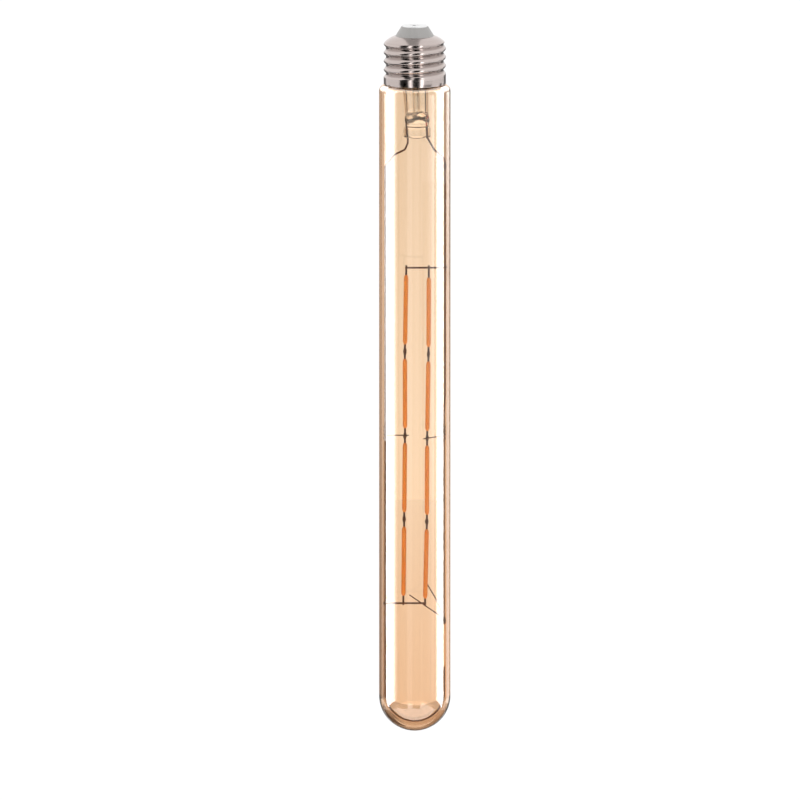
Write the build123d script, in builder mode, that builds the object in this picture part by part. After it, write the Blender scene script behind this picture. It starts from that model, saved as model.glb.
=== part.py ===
"""Long tubular LED filament bulb with a screw cap, in millimetres.

The bulb hangs cap up. The origin is the flat top of the solder on the centre
contact, +Z points out of the cap, and the glass reaches down to the overall
length. The frame that carries the filaments lies in the XZ plane, with its
short wire on the +X side.
"""

import math
import os

from build123d import *

os.makedirs("parts", exist_ok=True)

# Glass bulb
overall_length = 300.0
glass_diameter = 30.0
glass_wall = 1.1
tip_thickening = 0.7
neck_clearance = 0.7
neck_fillet = 0.8
neck_depth_in_cap = 7.3

# Screw cap: a rolled right-hand thread of seven turns to the inch
thread_crest_diameter = 26.1
thread_depth = 1.0
thread_pitch = 25.4 / 7
thread_turns = 3.5
thread_lead_in = 0.9
thread_run_out = 1.1
shell_wall = 0.35
skirt_length = 3.0
cone_height = 2.6
cone_bulge = 0.35
cone_top_diameter = 16.2
shell_lip = 0.9
rim_gap = 0.15

# Insulator, contact and its solder
contact_inset = 0.35
contact_thickness = 0.5
contact_edge_round = 0.25
insulator_height = 3.9
insulator_top_diameter = 11.3
insulator_depth_inside = 1.3
eyelet_diameter = 2.6
eyelet_wall = 0.4
eyelet_length = 3.2
solder_button_diameter = 3.6
solder_button_height = 0.3
solder_button_round = 0.24
solder_plug_depth = 1.2

# Glass stem: flare, tube and pinched foot
stem_tube_diameter = 11.2
stem_lower_diameter = 9.8
stem_wall = 0.6
stem_length = 30.4
foot_width = 11.2
foot_depth = 4.8
foot_height = 5.0
foot_round = 1.2
foot_corner_share = 0.45
pinch_width = 10.4
pinch_depth = 4.2
pinch_height = 2.4
pinch_blend = 3.6
stem_lean = 1.0
hollow_end_width = 7.8
hollow_end_depth = 4.0
hollow_end_height = 2.4
exhaust_tube_diameter = 3.1
exhaust_tube_wall = 0.6
exhaust_tip_height = 3.6
exhaust_tip_round = 1.4
exhaust_seat_gap = 0.15
blow_hole_diameter = 1.6
blow_hole_drop = 1.5

# Wires of the frame
support_wire_diameter = 0.8
lead_wire_diameter = 0.5
fine_wire_diameter = 0.5
long_wire_gap = 1.1
short_wire_gap = 0.8
wire_seal_depth = 4.2
seal_gap = 0.06
short_wire_tail = 7.5
short_wire_set = 0.45
short_wire_set_rise = (17.0, 9.0)
short_wire_set_radius = 40.0
wire_spacing = 8.0
foot_stub_length = 11.6
weld_gap = 0.02
weld_bead_width = 1.5
weld_bead_length = 3.2
bar_weld_width = 1.8
bar_weld_length = 1.5
steady_weld_width = 1.9
steady_weld_set_back = 0.15

# Bends of the wires below the stem, across from the seal or the short wire and
# down from the stem's end, and of the leads above them, across from the seal
wire_knee_drop = 12.0
wire_knee_radius = 1.6
long_wire_knee = ((0.35, 0.6), (0.2, -2.2), (-0.9, -4.8), (-5.4, -7.0))
right_wire_knee = ((0.2, 0.6), (1.2, -1.0), (3.4, -5.0))
right_wire_shoulder = ((-0.9, -7.7), (0.0, -9.9))
left_lead_sway = (-1.0, -0.1)
right_lead_sway = (-0.5, -0.3)
lead_bend_radius = 12.0

# Filaments: two columns, welded end to end
filaments_in_column = 4
coat_diameter = 1.9
coat_length = 29.5
coat_tip_diameter = 1.15
coat_shoulder = 1.3
coat_knee_share = 0.7
filament_pitch = 35.67
strip_width = 0.8
strip_thickness = 0.5
pin_width = 0.85
pin_overrun = 1.4
bar_pin_overrun = 0.9
bottom_bar_above_dome = 39.4
right_column_drop = 1.1
left_column_x = (-3.55, -4.15, -4.1, -4.45, -4.8)
right_column_x = (5.9, 5.75, 5.2, 5.1, 4.3)
bar_overrun = 0.5

# Fine ties, coiled round the wires at the middle of each column
tie_coil_pitch = 1.6
tie_coil_turns = 3.3
tie_turns_below_arm = 1
tie_overrun = 1.6
tie_elbow_swell = 0.03

# Fine steadying wires at the bottom of the frame
long_steady_reach = 14.5
long_steady_rise = 10.0
short_steady_reach = 8.0
short_steady_rise = 16.2
short_steady_bend = (3.2, 0.5)
short_steady_radius = 6.0
steady_weld_cover = 0.8

# Driver on the stem
board_thickness = 1.0
board_edge_gap = 0.3
board_bore_gap = 0.5
capacitor_diameter = 6.3
capacitor_height = 8.0
capacitor_place = (-5.6, 0.0)
capacitor_edge_round = 0.5
choke_diameter = 6.0
choke_height = 5.0
choke_flange = 0.9
choke_waist_diameter = 3.0
choke_place = (5.2, 3.7)
winding_inset = 0.3
rectifier_size = (4.7, 3.9, 1.5)
rectifier_place = (4.8, -5.0)
chip_size = (4.5, 2.5, 1.4)
chip_place = (-0.4, 7.3)
chip_lift = 0.15
chip_edge = 0.18
leg_reach = 0.8
leg_width = 0.6
leg_thickness = 0.25
resistor_diameter = 2.3
resistor_length = 6.3
resistor_end_round = 0.6
resistor_place = (-0.6, -6.6)
resistor_stand = 0.8
contact_lead_rise = 1.4
contact_lead_bend = 0.8
shell_lead_diameter = 0.4
shell_lead_bend = 0.5
shell_lead_inset = 0.9
shell_lead_rise = 1.4
shell_lead_length_in_skirt = 2.0

# Levels of the cap, all measured down from the top of the contact's solder
contact_top_z = -solder_button_height
insulator_top_z = contact_top_z - contact_thickness
cone_top_z = insulator_top_z - insulator_height
cone_base_z = cone_top_z - cone_height
thread_top_z = cone_base_z - thread_lead_in
thread_bottom_z = thread_top_z - thread_turns * thread_pitch
skirt_top_z = thread_bottom_z - thread_run_out
rim_z = skirt_top_z - skirt_length

# A round thread is a circle carried round the axis on a small helix
crest_radius = thread_crest_diameter / 2
thread_helix_radius = thread_depth / 2
thread_circle_radius = crest_radius - thread_helix_radius
lip_radius = cone_top_diameter / 2 - shell_lip

# Levels and radii of the glass
glass_radius = glass_diameter / 2
neck_radius = crest_radius - thread_depth - shell_wall - neck_clearance
shoulder_round = glass_radius - neck_radius - neck_fillet
rim_reach = crest_radius - shell_wall - neck_radius - neck_fillet
shoulder_drop_at_rim = shoulder_round - math.sqrt(shoulder_round**2 - rim_reach**2)
shoulder_z = rim_z - rim_gap + shoulder_drop_at_rim
seal_z = shoulder_z + neck_depth_in_cap
dome_z = -overall_length + glass_radius
inner_radius = glass_radius - glass_wall
inner_dome_z = dome_z + tip_thickening

# Levels of the stem
stem_radius = stem_tube_diameter / 2
stem_centre_x = 0.8 * stem_lean
flare_round = neck_radius - glass_wall - stem_radius
flare_end_z = seal_z - flare_round
stem_end_z = seal_z - stem_length
foot_top_z = stem_end_z + foot_height
pinch_top_z = foot_top_z + pinch_height
hollow_end_z = pinch_top_z + pinch_blend - hollow_end_height
stem_lower_z = pinch_top_z + pinch_blend
board_bottom_z = seal_z + stem_wall
board_top_z = board_bottom_z + board_thickness

# Places in the frame
wire_radius = support_wire_diameter / 2
long_wire_x = -(inner_radius - wire_radius - long_wire_gap)
short_wire_x = inner_radius - wire_radius - short_wire_gap
short_wire_low_x = short_wire_x - short_wire_set
seal_point_z = stem_end_z + wire_seal_depth
left_seal_x = stem_centre_x - wire_spacing / 2
right_seal_x = stem_centre_x + wire_spacing / 2
wire_knee_z = stem_end_z - wire_knee_drop
bottom_bar_z = dome_z + bottom_bar_above_dome
top_bar_z = bottom_bar_z + filaments_in_column * filament_pitch
short_wire_end_z = bottom_bar_z - short_wire_tail
bar_y = -(support_wire_diameter + weld_gap)
pin_thickness = strip_thickness / 2
filament_y = bar_y + wire_radius + weld_gap
tie_joint_z = bottom_bar_z + filaments_in_column // 2 * filament_pitch


def wire_along(path, diameter):
    """A round wire whose centre line is the path."""
    with BuildPart() as wire:
        with BuildSketch(Plane(origin=path @ 0, z_dir=path % 0)):
            Circle(diameter / 2)
        sweep(path=path)
    return wire.part


def cap_form(inset):
    """The cap's outside, or its inside when inset by the wall.

    The cone bulges, so its side is an arc round the point (bow_x, bow_z).
    """
    ring = thread_circle_radius - inset
    end_turn = 360 * thread_turns
    span = thread_circle_radius - cone_top_diameter / 2
    chord = math.hypot(span, cone_height)
    bow = chord**2 / (8 * cone_bulge) + cone_bulge / 2
    bow_x = cone_top_diameter / 2 + span / 2 - (bow - cone_bulge) * cone_height / chord
    bow_z = cone_top_z - cone_height / 2 - (bow - cone_bulge) * span / chord
    top_z = cone_top_z - inset
    top_radius = bow_x + math.sqrt((bow - inset) ** 2 - (top_z - bow_z) ** 2)
    base_z = bow_z + math.sqrt((bow - inset) ** 2 - (ring - bow_x) ** 2)
    with BuildPart() as form:
        with BuildSketch(Plane.XZ):
            with BuildLine():
                Polyline((ring, base_z), (0, base_z), (0, top_z), (top_radius, top_z))
                RadiusArc((top_radius, top_z), (ring, base_z), bow - inset)
            make_face()
        revolve(axis=Axis.Z)
        with BuildSketch(Plane.XY.offset(base_z)):
            Circle(ring)
        with BuildSketch(Plane.XY.offset(thread_top_z)):
            with PolarLocations(thread_helix_radius, 1, start_angle=end_turn):
                Circle(ring)
        loft()
        with BuildLine() as thread:
            Helix(
                thread_pitch,
                thread_turns * thread_pitch,
                thread_helix_radius,
                center=(0, 0, thread_bottom_z),
            )
        with BuildSketch(Plane.XY.offset(thread_bottom_z)):
            with Locations((thread_helix_radius, 0)):
                Circle(ring)
        sweep(path=thread.wire(), normal=(0, 0, 1))
        with BuildSketch(Plane.XY.offset(thread_bottom_z)):
            with Locations((thread_helix_radius, 0)):
                Circle(ring)
        with BuildSketch(Plane.XY.offset(skirt_top_z)):
            Circle(crest_radius - inset)
        loft()
        with BuildSketch(Plane.XY.offset(skirt_top_z)):
            Circle(crest_radius - inset)
        extrude(amount=-skirt_length)
    return form.part


# The rolled shell has the same wave outside and inside its thin wall
with BuildPart() as cap_shell:
    add(cap_form(0))
    add(cap_form(shell_wall), mode=Mode.SUBTRACT)
    with BuildSketch(Plane.XY.offset(cone_top_z)):
        Circle(lip_radius)
    extrude(amount=-2 * shell_wall, mode=Mode.SUBTRACT)
cap_shell.part.label = "cap_shell"
export_step(cap_shell.part, "parts/cap_shell.step")

# The insulator is moulded through the shell's lip
with BuildPart() as cap_insulator:
    with BuildSketch(Plane.XZ):
        with BuildLine():
            Polyline(
                (eyelet_diameter / 2, insulator_top_z),
                (insulator_top_diameter / 2, insulator_top_z),
                (cone_top_diameter / 2, cone_top_z),
                (lip_radius, cone_top_z),
                (lip_radius, cone_top_z - insulator_depth_inside),
                (eyelet_diameter / 2, cone_top_z - insulator_depth_inside),
                close=True,
            )
        make_face()
    revolve(axis=Axis.Z)
cap_insulator.part.label = "cap_insulator"
export_step(cap_insulator.part, "parts/cap_insulator.step")

# The contact is a disc with an eyelet that grips the insulator's bore
with BuildPart() as centre_contact:
    with BuildSketch(Plane.XY.offset(insulator_top_z)):
        Circle(insulator_top_diameter / 2 - contact_inset)
    extrude(amount=contact_thickness)
    fillet(centre_contact.edges().sort_by(Axis.Z)[-1], contact_edge_round)
    with BuildSketch(Plane.XY.offset(insulator_top_z)):
        Circle(eyelet_diameter / 2)
    extrude(amount=-eyelet_length)
    with BuildSketch(Plane.XY.offset(contact_top_z)):
        Circle(eyelet_diameter / 2 - eyelet_wall)
    extrude(amount=-contact_thickness - eyelet_length, mode=Mode.SUBTRACT)
centre_contact.part.label = "centre_contact"
export_step(centre_contact.part, "parts/centre_contact.step")


def envelope_form(inset):
    """The glass, or its inside when inset by the wall, which is thicker at the tip."""
    neck = neck_radius - inset
    turn = neck_fillet + inset
    crown = shoulder_round - inset
    body = glass_radius - inset
    level = shoulder_z - inset
    round_z = inner_dome_z if inset else dome_z
    with BuildPart() as form:
        with BuildSketch(Plane.XZ):
            with BuildLine():
                Line((0, seal_z), (neck, seal_z))
                Line((neck, seal_z), (neck, level + turn))
                RadiusArc((neck, level + turn), (neck + turn, level), -turn)
                RadiusArc((neck + turn, level), (body, level - crown), crown)
                Line((body, level - crown), (body, round_z))
                RadiusArc((body, round_z), (0, round_z - body), body)
                Line((0, round_z - body), (0, seal_z))
            make_face()
        revolve(axis=Axis.Z)
    return form.part


# One blown tube: neck, rounded shoulder, long body and round end
with BuildPart() as glass_envelope:
    add(envelope_form(0))
    add(envelope_form(glass_wall), mode=Mode.SUBTRACT)
glass_envelope.part.label = "glass_envelope"
export_step(glass_envelope.part, "parts/glass_envelope.step")

# Leads in the stem, from the driver down to the sealed wires
with BuildLine(Plane.XZ) as left_lead_path:
    FilletPolyline(
        (left_seal_x + left_lead_sway[0], board_bottom_z - weld_gap),
        (left_seal_x + left_lead_sway[1], stem_lower_z),
        (left_seal_x, seal_point_z + seal_gap),
        radius=lead_bend_radius,
    )
stem_lead_left = wire_along(left_lead_path.wire(), lead_wire_diameter)
stem_lead_left.label = "stem_lead_left"
export_step(stem_lead_left, "parts/stem_lead_left.step")

with BuildLine(Plane.XZ) as right_lead_path:
    FilletPolyline(
        (right_seal_x + right_lead_sway[0], board_bottom_z - weld_gap),
        (right_seal_x + right_lead_sway[1], stem_lower_z),
        (right_seal_x, seal_point_z + seal_gap),
        radius=lead_bend_radius,
    )
stem_lead_right = wire_along(right_lead_path.wire(), lead_wire_diameter)
stem_lead_right.label = "stem_lead_right"
export_step(stem_lead_right, "parts/stem_lead_right.step")

# The long wire leaves the stem, runs down the left wall, turns round inside
# the dome as a springy foot and stops blunt on the right
with BuildLine(Plane.XZ) as long_wire_path:
    knee = FilletPolyline(
        (left_seal_x, seal_point_z),
        *[(left_seal_x + across, stem_end_z + down) for across, down in long_wire_knee],
        (long_wire_x, wire_knee_z),
        (long_wire_x, wire_knee_z - wire_knee_drop),
        radius=wire_knee_radius,
    )
    Line(knee @ 1, (long_wire_x, inner_dome_z))
    RadiusArc((long_wire_x, inner_dome_z), (-long_wire_x, inner_dome_z), long_wire_x)
    Line((-long_wire_x, inner_dome_z), (-long_wire_x, inner_dome_z + foot_stub_length))
long_support_wire = wire_along(long_wire_path.wire(), support_wire_diameter)
long_support_wire.label = "long_support_wire"
export_step(long_support_wire, "parts/long_support_wire.step")

# The right lead is joined to the short wire in a weld bead below the stem
with BuildLine(Plane.XZ) as right_wire_path:
    FilletPolyline(
        (right_seal_x, seal_point_z),
        *[(right_seal_x + across, stem_end_z + down) for across, down in right_wire_knee],
        *[(short_wire_x + across, stem_end_z + down) for across, down in right_wire_shoulder],
        (short_wire_x, wire_knee_z),
        radius=wire_knee_radius,
    )
right_lead_wire = wire_along(right_wire_path.wire(), support_wire_diameter)
right_lead_wire.label = "right_lead_wire"
export_step(right_lead_wire, "parts/right_lead_wire.step")

# The short wire has a slight set inwards above its middle
with BuildLine(Plane.XZ) as short_wire_path:
    FilletPolyline(
        (short_wire_x, wire_knee_z),
        (short_wire_x, tie_joint_z + short_wire_set_rise[0]),
        (short_wire_low_x, tie_joint_z + short_wire_set_rise[1]),
        (short_wire_low_x, short_wire_end_z),
        radius=short_wire_set_radius,
    )
short_support_wire = wire_along(short_wire_path.wire(), support_wire_diameter)
short_support_wire.label = "short_support_wire"
export_step(short_support_wire, "parts/short_support_wire.step")

# The exhaust tube is sealed off at its tip and leans with the stem
exhaust_start = Vector(stem_centre_x, 0, hollow_end_z + exhaust_seat_gap)
exhaust_end = Vector(0, 0, board_top_z + exhaust_tip_height)
exhaust_axis = (exhaust_end - exhaust_start).normalized()
exhaust_reach = (exhaust_end - exhaust_start).length
with BuildPart() as exhaust_tube:
    with BuildSketch(Plane(origin=exhaust_start, z_dir=exhaust_axis)):
        Circle(exhaust_tube_diameter / 2)
    extrude(amount=exhaust_reach)
    fillet(exhaust_tube.edges().sort_by(Axis.Z)[-1], exhaust_tip_round)
    with BuildSketch(Plane(origin=exhaust_start, z_dir=exhaust_axis)):
        Circle(exhaust_tube_diameter / 2 - exhaust_tube_wall)
    extrude(amount=exhaust_reach - exhaust_tube_diameter, mode=Mode.SUBTRACT)
exhaust_tube.part.label = "exhaust_tube"
export_step(exhaust_tube.part, "parts/exhaust_tube.step")

# The stem: a flare fused to the neck, a leaning tube and a pinched foot
with BuildPart() as stem_foot:
    with BuildSketch(Plane.XY.offset(stem_end_z)):
        with Locations((stem_lean, 0)):
            RectangleRounded(foot_width, foot_depth, foot_depth * foot_corner_share)
    extrude(amount=foot_height)
    level_faces = stem_foot.faces().sort_by(Axis.Z)
    fillet(level_faces[0].edges() + level_faces[-1].edges(), foot_round)

with BuildPart() as glass_stem:
    with BuildSketch(Plane.XZ):
        with BuildLine():
            bend_x = stem_radius + flare_round
            Line((stem_radius - stem_wall, flare_end_z), (stem_radius, flare_end_z))
            RadiusArc((stem_radius, flare_end_z), (bend_x, seal_z), flare_round)
            Line((bend_x, seal_z), (neck_radius, seal_z))
            Line((neck_radius, seal_z), (neck_radius, board_bottom_z))
            Line((neck_radius, board_bottom_z), (bend_x, board_bottom_z))
            RadiusArc(
                (bend_x, board_bottom_z),
                (stem_radius - stem_wall, flare_end_z),
                -flare_round - stem_wall,
            )
        make_face()
    revolve(axis=Axis.Z)
    with BuildSketch(Plane.XY.offset(flare_end_z)):
        Circle(stem_radius)
    with BuildSketch(Plane.XY.offset(stem_lower_z)):
        with Locations((stem_centre_x, 0)):
            Circle(stem_lower_diameter / 2)
    loft()
    with BuildSketch(Plane.XY.offset(stem_lower_z)):
        with Locations((stem_centre_x, 0)):
            Circle(stem_lower_diameter / 2)
    with BuildSketch(Plane.XY.offset(pinch_top_z)):
        with Locations((stem_lean, 0)):
            RectangleRounded(pinch_width, pinch_depth, pinch_depth * foot_corner_share)
    loft()
    with BuildSketch(Plane.XY.offset(pinch_top_z)):
        with Locations((stem_lean, 0)):
            RectangleRounded(pinch_width, pinch_depth, pinch_depth * foot_corner_share)
    extrude(amount=-pinch_height - foot_height / 2)
    add(stem_foot.part)
    with BuildSketch(Plane.XY.offset(flare_end_z)):
        Circle(stem_radius - stem_wall)
    with BuildSketch(Plane.XY.offset(stem_lower_z)):
        with Locations((stem_centre_x, 0)):
            Circle(stem_lower_diameter / 2 - stem_wall)
    loft(mode=Mode.SUBTRACT)
    with BuildSketch(Plane.XY.offset(stem_lower_z)):
        with Locations((stem_centre_x, 0)):
            Circle(stem_lower_diameter / 2 - stem_wall)
    with BuildSketch(Plane.XY.offset(hollow_end_z)):
        with Locations((stem_centre_x, 0)):
            SlotOverall(hollow_end_width, hollow_end_depth)
    loft(mode=Mode.SUBTRACT)
    with BuildSketch(Plane.XY.offset(hollow_end_z)):
        with Locations((stem_centre_x, 0)):
            Circle(blow_hole_diameter / 2)
    extrude(amount=-blow_hole_drop, mode=Mode.SUBTRACT)
    with BuildSketch(Plane.XZ):
        with Locations((stem_centre_x, hollow_end_z - blow_hole_drop)):
            Circle(blow_hole_diameter / 2)
    extrude(amount=-foot_depth, mode=Mode.SUBTRACT)
    add(stem_lead_left, mode=Mode.SUBTRACT)
    add(stem_lead_right, mode=Mode.SUBTRACT)
    add(long_support_wire, mode=Mode.SUBTRACT)
    add(right_lead_wire, mode=Mode.SUBTRACT)
glass_stem.part.label = "glass_stem"
export_step(glass_stem.part, "parts/glass_stem.step")

# Bars that join the columns to the wires, lapped on their near side
with BuildPart() as top_crossbar:
    with BuildSketch(Plane.YZ.offset(left_column_x[0] - bar_overrun)):
        with Locations((bar_y, top_bar_z)):
            Circle(wire_radius)
    extrude(amount=short_wire_x + bar_overrun - left_column_x[0] + bar_overrun)
top_crossbar.part.label = "top_crossbar"
export_step(top_crossbar.part, "parts/top_crossbar.step")

with BuildPart() as bottom_crossbar:
    with BuildSketch(Plane.YZ.offset(long_wire_x - bar_overrun)):
        with Locations((bar_y, bottom_bar_z)):
            Circle(wire_radius)
    extrude(amount=right_column_x[-1] + bar_overrun - long_wire_x + bar_overrun)
bottom_crossbar.part.label = "bottom_crossbar"
export_step(bottom_crossbar.part, "parts/bottom_crossbar.step")


def filament(top, bottom, drop, place):
    """One filament between two joints: its strip with pins, and its coat.

    Its upper pin lies behind the joint's plane and its lower pin before it, so
    that pins lap face to face. The last one's lower pin lies behind, on the bar.
    """
    direction = (Vector(*top) - Vector(*bottom)).normalized()
    middle = (Vector(*top) + Vector(*bottom)) * 0.5 - Vector(0, 0, drop)
    across = Vector(direction.Z, 0, -direction.X)
    frame = Plane(origin=middle, x_dir=across, z_dir=direction)
    half_strip = coat_length / 2 - coat_shoulder
    joint_reach = filament_pitch / 2 - half_strip
    upper_pin = joint_reach + (drop + bar_pin_overrun if place == "first" else pin_overrun)
    lower_pin = joint_reach + (bar_pin_overrun - drop if place == "last" else pin_overrun)
    pin_side = pin_thickness / 2
    lower_side = pin_side if place == "last" else -pin_side
    with BuildPart() as strip:
        with BuildSketch(frame.offset(-half_strip)):
            Rectangle(strip_width, strip_thickness)
        extrude(amount=2 * half_strip)
        with BuildSketch(frame.offset(half_strip)):
            with Locations((0, pin_side)):
                Rectangle(pin_width, pin_thickness)
        extrude(amount=upper_pin)
        with BuildSketch(frame.offset(-half_strip)):
            with Locations((0, lower_side)):
                Rectangle(pin_width, pin_thickness)
        extrude(amount=-lower_pin)
    with BuildPart() as coat:
        section = Plane(origin=frame.origin, x_dir=frame.x_dir, z_dir=-frame.y_dir)
        tip = coat_tip_diameter / 2
        side = coat_diameter / 2
        knee_x = tip + coat_knee_share * (side - tip)
        knee = (knee_x, coat_length / 2 - (1 - coat_knee_share) * coat_shoulder)
        with BuildSketch(section):
            with BuildLine():
                Line((0, -coat_length / 2), (tip, -coat_length / 2))
                ThreePointArc(
                    (tip, -coat_length / 2), (knee[0], -knee[1]), (side, -half_strip)
                )
                Line((side, -half_strip), (side, half_strip))
                ThreePointArc((side, half_strip), knee, (tip, coat_length / 2))
                Line((tip, coat_length / 2), (0, coat_length / 2))
                Line((0, coat_length / 2), (0, -coat_length / 2))
            make_face()
        revolve(axis=Axis(frame.origin, frame.z_dir))
        add(strip.part, mode=Mode.SUBTRACT)
    return strip.part, coat.part


for side_name, column_x, drop in (
    ("left", left_column_x, 0.0),
    ("right", right_column_x, right_column_drop),
):
    for index in range(filaments_in_column):
        top_z = top_bar_z - index * filament_pitch
        place = "first" if index == 0 else "inner"
        if index == filaments_in_column - 1:
            place = "last"
        strip, coat = filament(
            (column_x[index], filament_y, top_z),
            (column_x[index + 1], filament_y, top_z - filament_pitch),
            drop,
            place,
        )
        strip.label = f"filament_strip_{side_name}_{index + 1}"
        export_step(strip, f"parts/{strip.label}.step")
        coat.label = f"filament_coat_{side_name}_{index + 1}"
        export_step(coat, f"parts/{coat.label}.step")


def coiled_tie(coil_x, joint, side):
    """A fine wire coiled round a support wire and welded to a column."""
    place = Pos(coil_x, 0, tie_joint_z) * Rot(0, 0, 90 * side)
    coil_radius = wire_radius + fine_wire_diameter / 2 + weld_gap
    start = Vector(coil_radius, 0, 0)
    end = (place.inverse() * Pos(*joint)).position
    reach = (end - start).normalized() * tie_overrun
    with BuildPart() as tie:
        with BuildLine() as coil:
            Helix(
                tie_coil_pitch,
                tie_coil_turns * tie_coil_pitch,
                coil_radius,
                center=(0, 0, -tie_turns_below_arm * tie_coil_pitch),
            )
        with BuildSketch(Plane(origin=coil.line @ 0, z_dir=coil.line % 0)):
            Circle(fine_wire_diameter / 2)
        sweep(path=coil.wire(), is_frenet=True)
        with BuildLine() as arm:
            Line(start, end + reach)
        with BuildSketch(Plane(origin=start, z_dir=arm.line % 0)):
            Circle(fine_wire_diameter / 2)
        sweep(path=arm.wire())
        with Locations(start):
            Sphere(fine_wire_diameter / 2 + tie_elbow_swell)
    return place * tie.part


middle_joint = filaments_in_column // 2
joint_stack = pin_thickness + fine_wire_diameter / 2 + weld_gap
left_joint = (left_column_x[middle_joint], filament_y + joint_stack, tie_joint_z)
tie_left = coiled_tie(long_wire_x, left_joint, 1)
tie_left.label = "tie_left"
export_step(tie_left, "parts/tie_left.step")
right_joint = (
    right_column_x[middle_joint],
    filament_y - joint_stack,
    tie_joint_z - right_column_drop,
)
tie_right = coiled_tie(short_wire_low_x, right_joint, -1)
tie_right.label = "tie_right"
export_step(tie_right, "parts/tie_right.step")

# Two fine steadying wires spread from the weld at the short wire's end: the
# long one passes behind the bars, the short one ends behind the last coat
steady_start_z = short_wire_end_z + steady_weld_cover
behind_wire_y = wire_radius + fine_wire_diameter / 2 + weld_gap
with BuildLine() as long_steady_path:
    Line(
        (short_wire_low_x, behind_wire_y, steady_start_z),
        (
            short_wire_low_x - long_steady_reach,
            behind_wire_y,
            steady_start_z + long_steady_rise,
        ),
    )
steady_wire_long = wire_along(long_steady_path.wire(), fine_wire_diameter)
steady_wire_long.label = "steady_wire_long"
export_step(steady_wire_long, "parts/steady_wire_long.step")

behind_coat_y = filament_y + coat_diameter / 2 + fine_wire_diameter / 2 + weld_gap
with BuildLine() as short_steady_path:
    FilletPolyline(
        (short_wire_low_x, behind_wire_y, steady_start_z + 1.5 * fine_wire_diameter),
        (
            short_wire_low_x - short_steady_bend[0],
            behind_coat_y,
            steady_start_z + short_steady_bend[1] * short_steady_rise,
        ),
        (
            short_wire_low_x - short_steady_reach,
            behind_coat_y,
            steady_start_z + short_steady_rise,
        ),
        radius=short_steady_radius,
    )
steady_wire_short = wire_along(short_steady_path.wire(), fine_wire_diameter)
steady_wire_short.label = "steady_wire_short"
export_step(steady_wire_short, "parts/steady_wire_short.step")


def weld_bead(centre, width, length, held):
    """A spindle of weld metal round the pieces that it joins."""
    with BuildPart() as bead:
        with BuildSketch(Plane(origin=centre, x_dir=(1, 0, 0), z_dir=(0, -1, 0))):
            with BuildLine():
                Line((0, -length / 2), (width / 4, -length / 2))
                ThreePointArc(
                    (width / 4, -length / 2), (width / 2, 0), (width / 4, length / 2)
                )
                Line((width / 4, length / 2), (0, length / 2))
                Line((0, length / 2), (0, -length / 2))
            make_face()
        revolve(axis=Axis(centre, (0, 0, 1)))
        for piece in held:
            add(piece, mode=Mode.SUBTRACT)
    return bead.part


weld_beads = {
    "weld_right_lead": weld_bead(
        (short_wire_x, 0, wire_knee_z),
        weld_bead_width,
        weld_bead_length,
        (right_lead_wire, short_support_wire),
    ),
    "weld_top_bar": weld_bead(
        (short_wire_x, bar_y / 2, top_bar_z),
        bar_weld_width,
        bar_weld_length,
        (short_support_wire, top_crossbar.part),
    ),
    "weld_bottom_bar": weld_bead(
        (long_wire_x, bar_y / 2, bottom_bar_z),
        bar_weld_width,
        bar_weld_length,
        (long_support_wire, bottom_crossbar.part),
    ),
    "weld_steady_wires": weld_bead(
        (short_wire_low_x, steady_weld_set_back, short_wire_end_z),
        steady_weld_width,
        weld_bead_length,
        (short_support_wire, steady_wire_long, steady_wire_short),
    ),
}
for bead_name, bead in weld_beads.items():
    bead.label = bead_name
    export_step(bead, f"parts/{bead_name}.step")

# A round board sits on the flare, round the exhaust tube
with BuildPart() as driver_board:
    with BuildSketch(Plane.XY.offset(board_bottom_z)):
        Circle(neck_radius - board_edge_gap)
        Circle(exhaust_tube_diameter / 2 + board_bore_gap, mode=Mode.SUBTRACT)
    extrude(amount=board_thickness)
driver_board.part.label = "driver_board"
export_step(driver_board.part, "parts/driver_board.step")

with BuildPart() as smoothing_capacitor:
    with BuildSketch(Plane.XY.offset(board_top_z)):
        with Locations(capacitor_place):
            Circle(capacitor_diameter / 2)
    extrude(amount=capacitor_height)
    fillet(smoothing_capacitor.edges().filter_by(GeomType.CIRCLE), capacitor_edge_round)
smoothing_capacitor.part.label = "smoothing_capacitor"
export_step(smoothing_capacitor.part, "parts/smoothing_capacitor.step")

with BuildPart() as choke_core:
    with BuildSketch(Plane.XY.offset(board_top_z)):
        with Locations(choke_place):
            Circle(choke_diameter / 2)
    extrude(amount=choke_height)
    with BuildSketch(Plane.XY.offset(board_top_z + choke_flange)):
        with Locations(choke_place):
            Circle(choke_diameter / 2)
            Circle(choke_waist_diameter / 2, mode=Mode.SUBTRACT)
    extrude(amount=choke_height - 2 * choke_flange, mode=Mode.SUBTRACT)
choke_core.part.label = "choke_core"
export_step(choke_core.part, "parts/choke_core.step")

with BuildPart() as choke_winding:
    with BuildSketch(Plane.XY.offset(board_top_z + choke_flange)):
        with Locations(choke_place):
            Circle(choke_diameter / 2 - winding_inset)
            Circle(choke_waist_diameter / 2, mode=Mode.SUBTRACT)
    extrude(amount=choke_height - 2 * choke_flange)
choke_winding.part.label = "choke_winding"
export_step(choke_winding.part, "parts/choke_winding.step")


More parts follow.
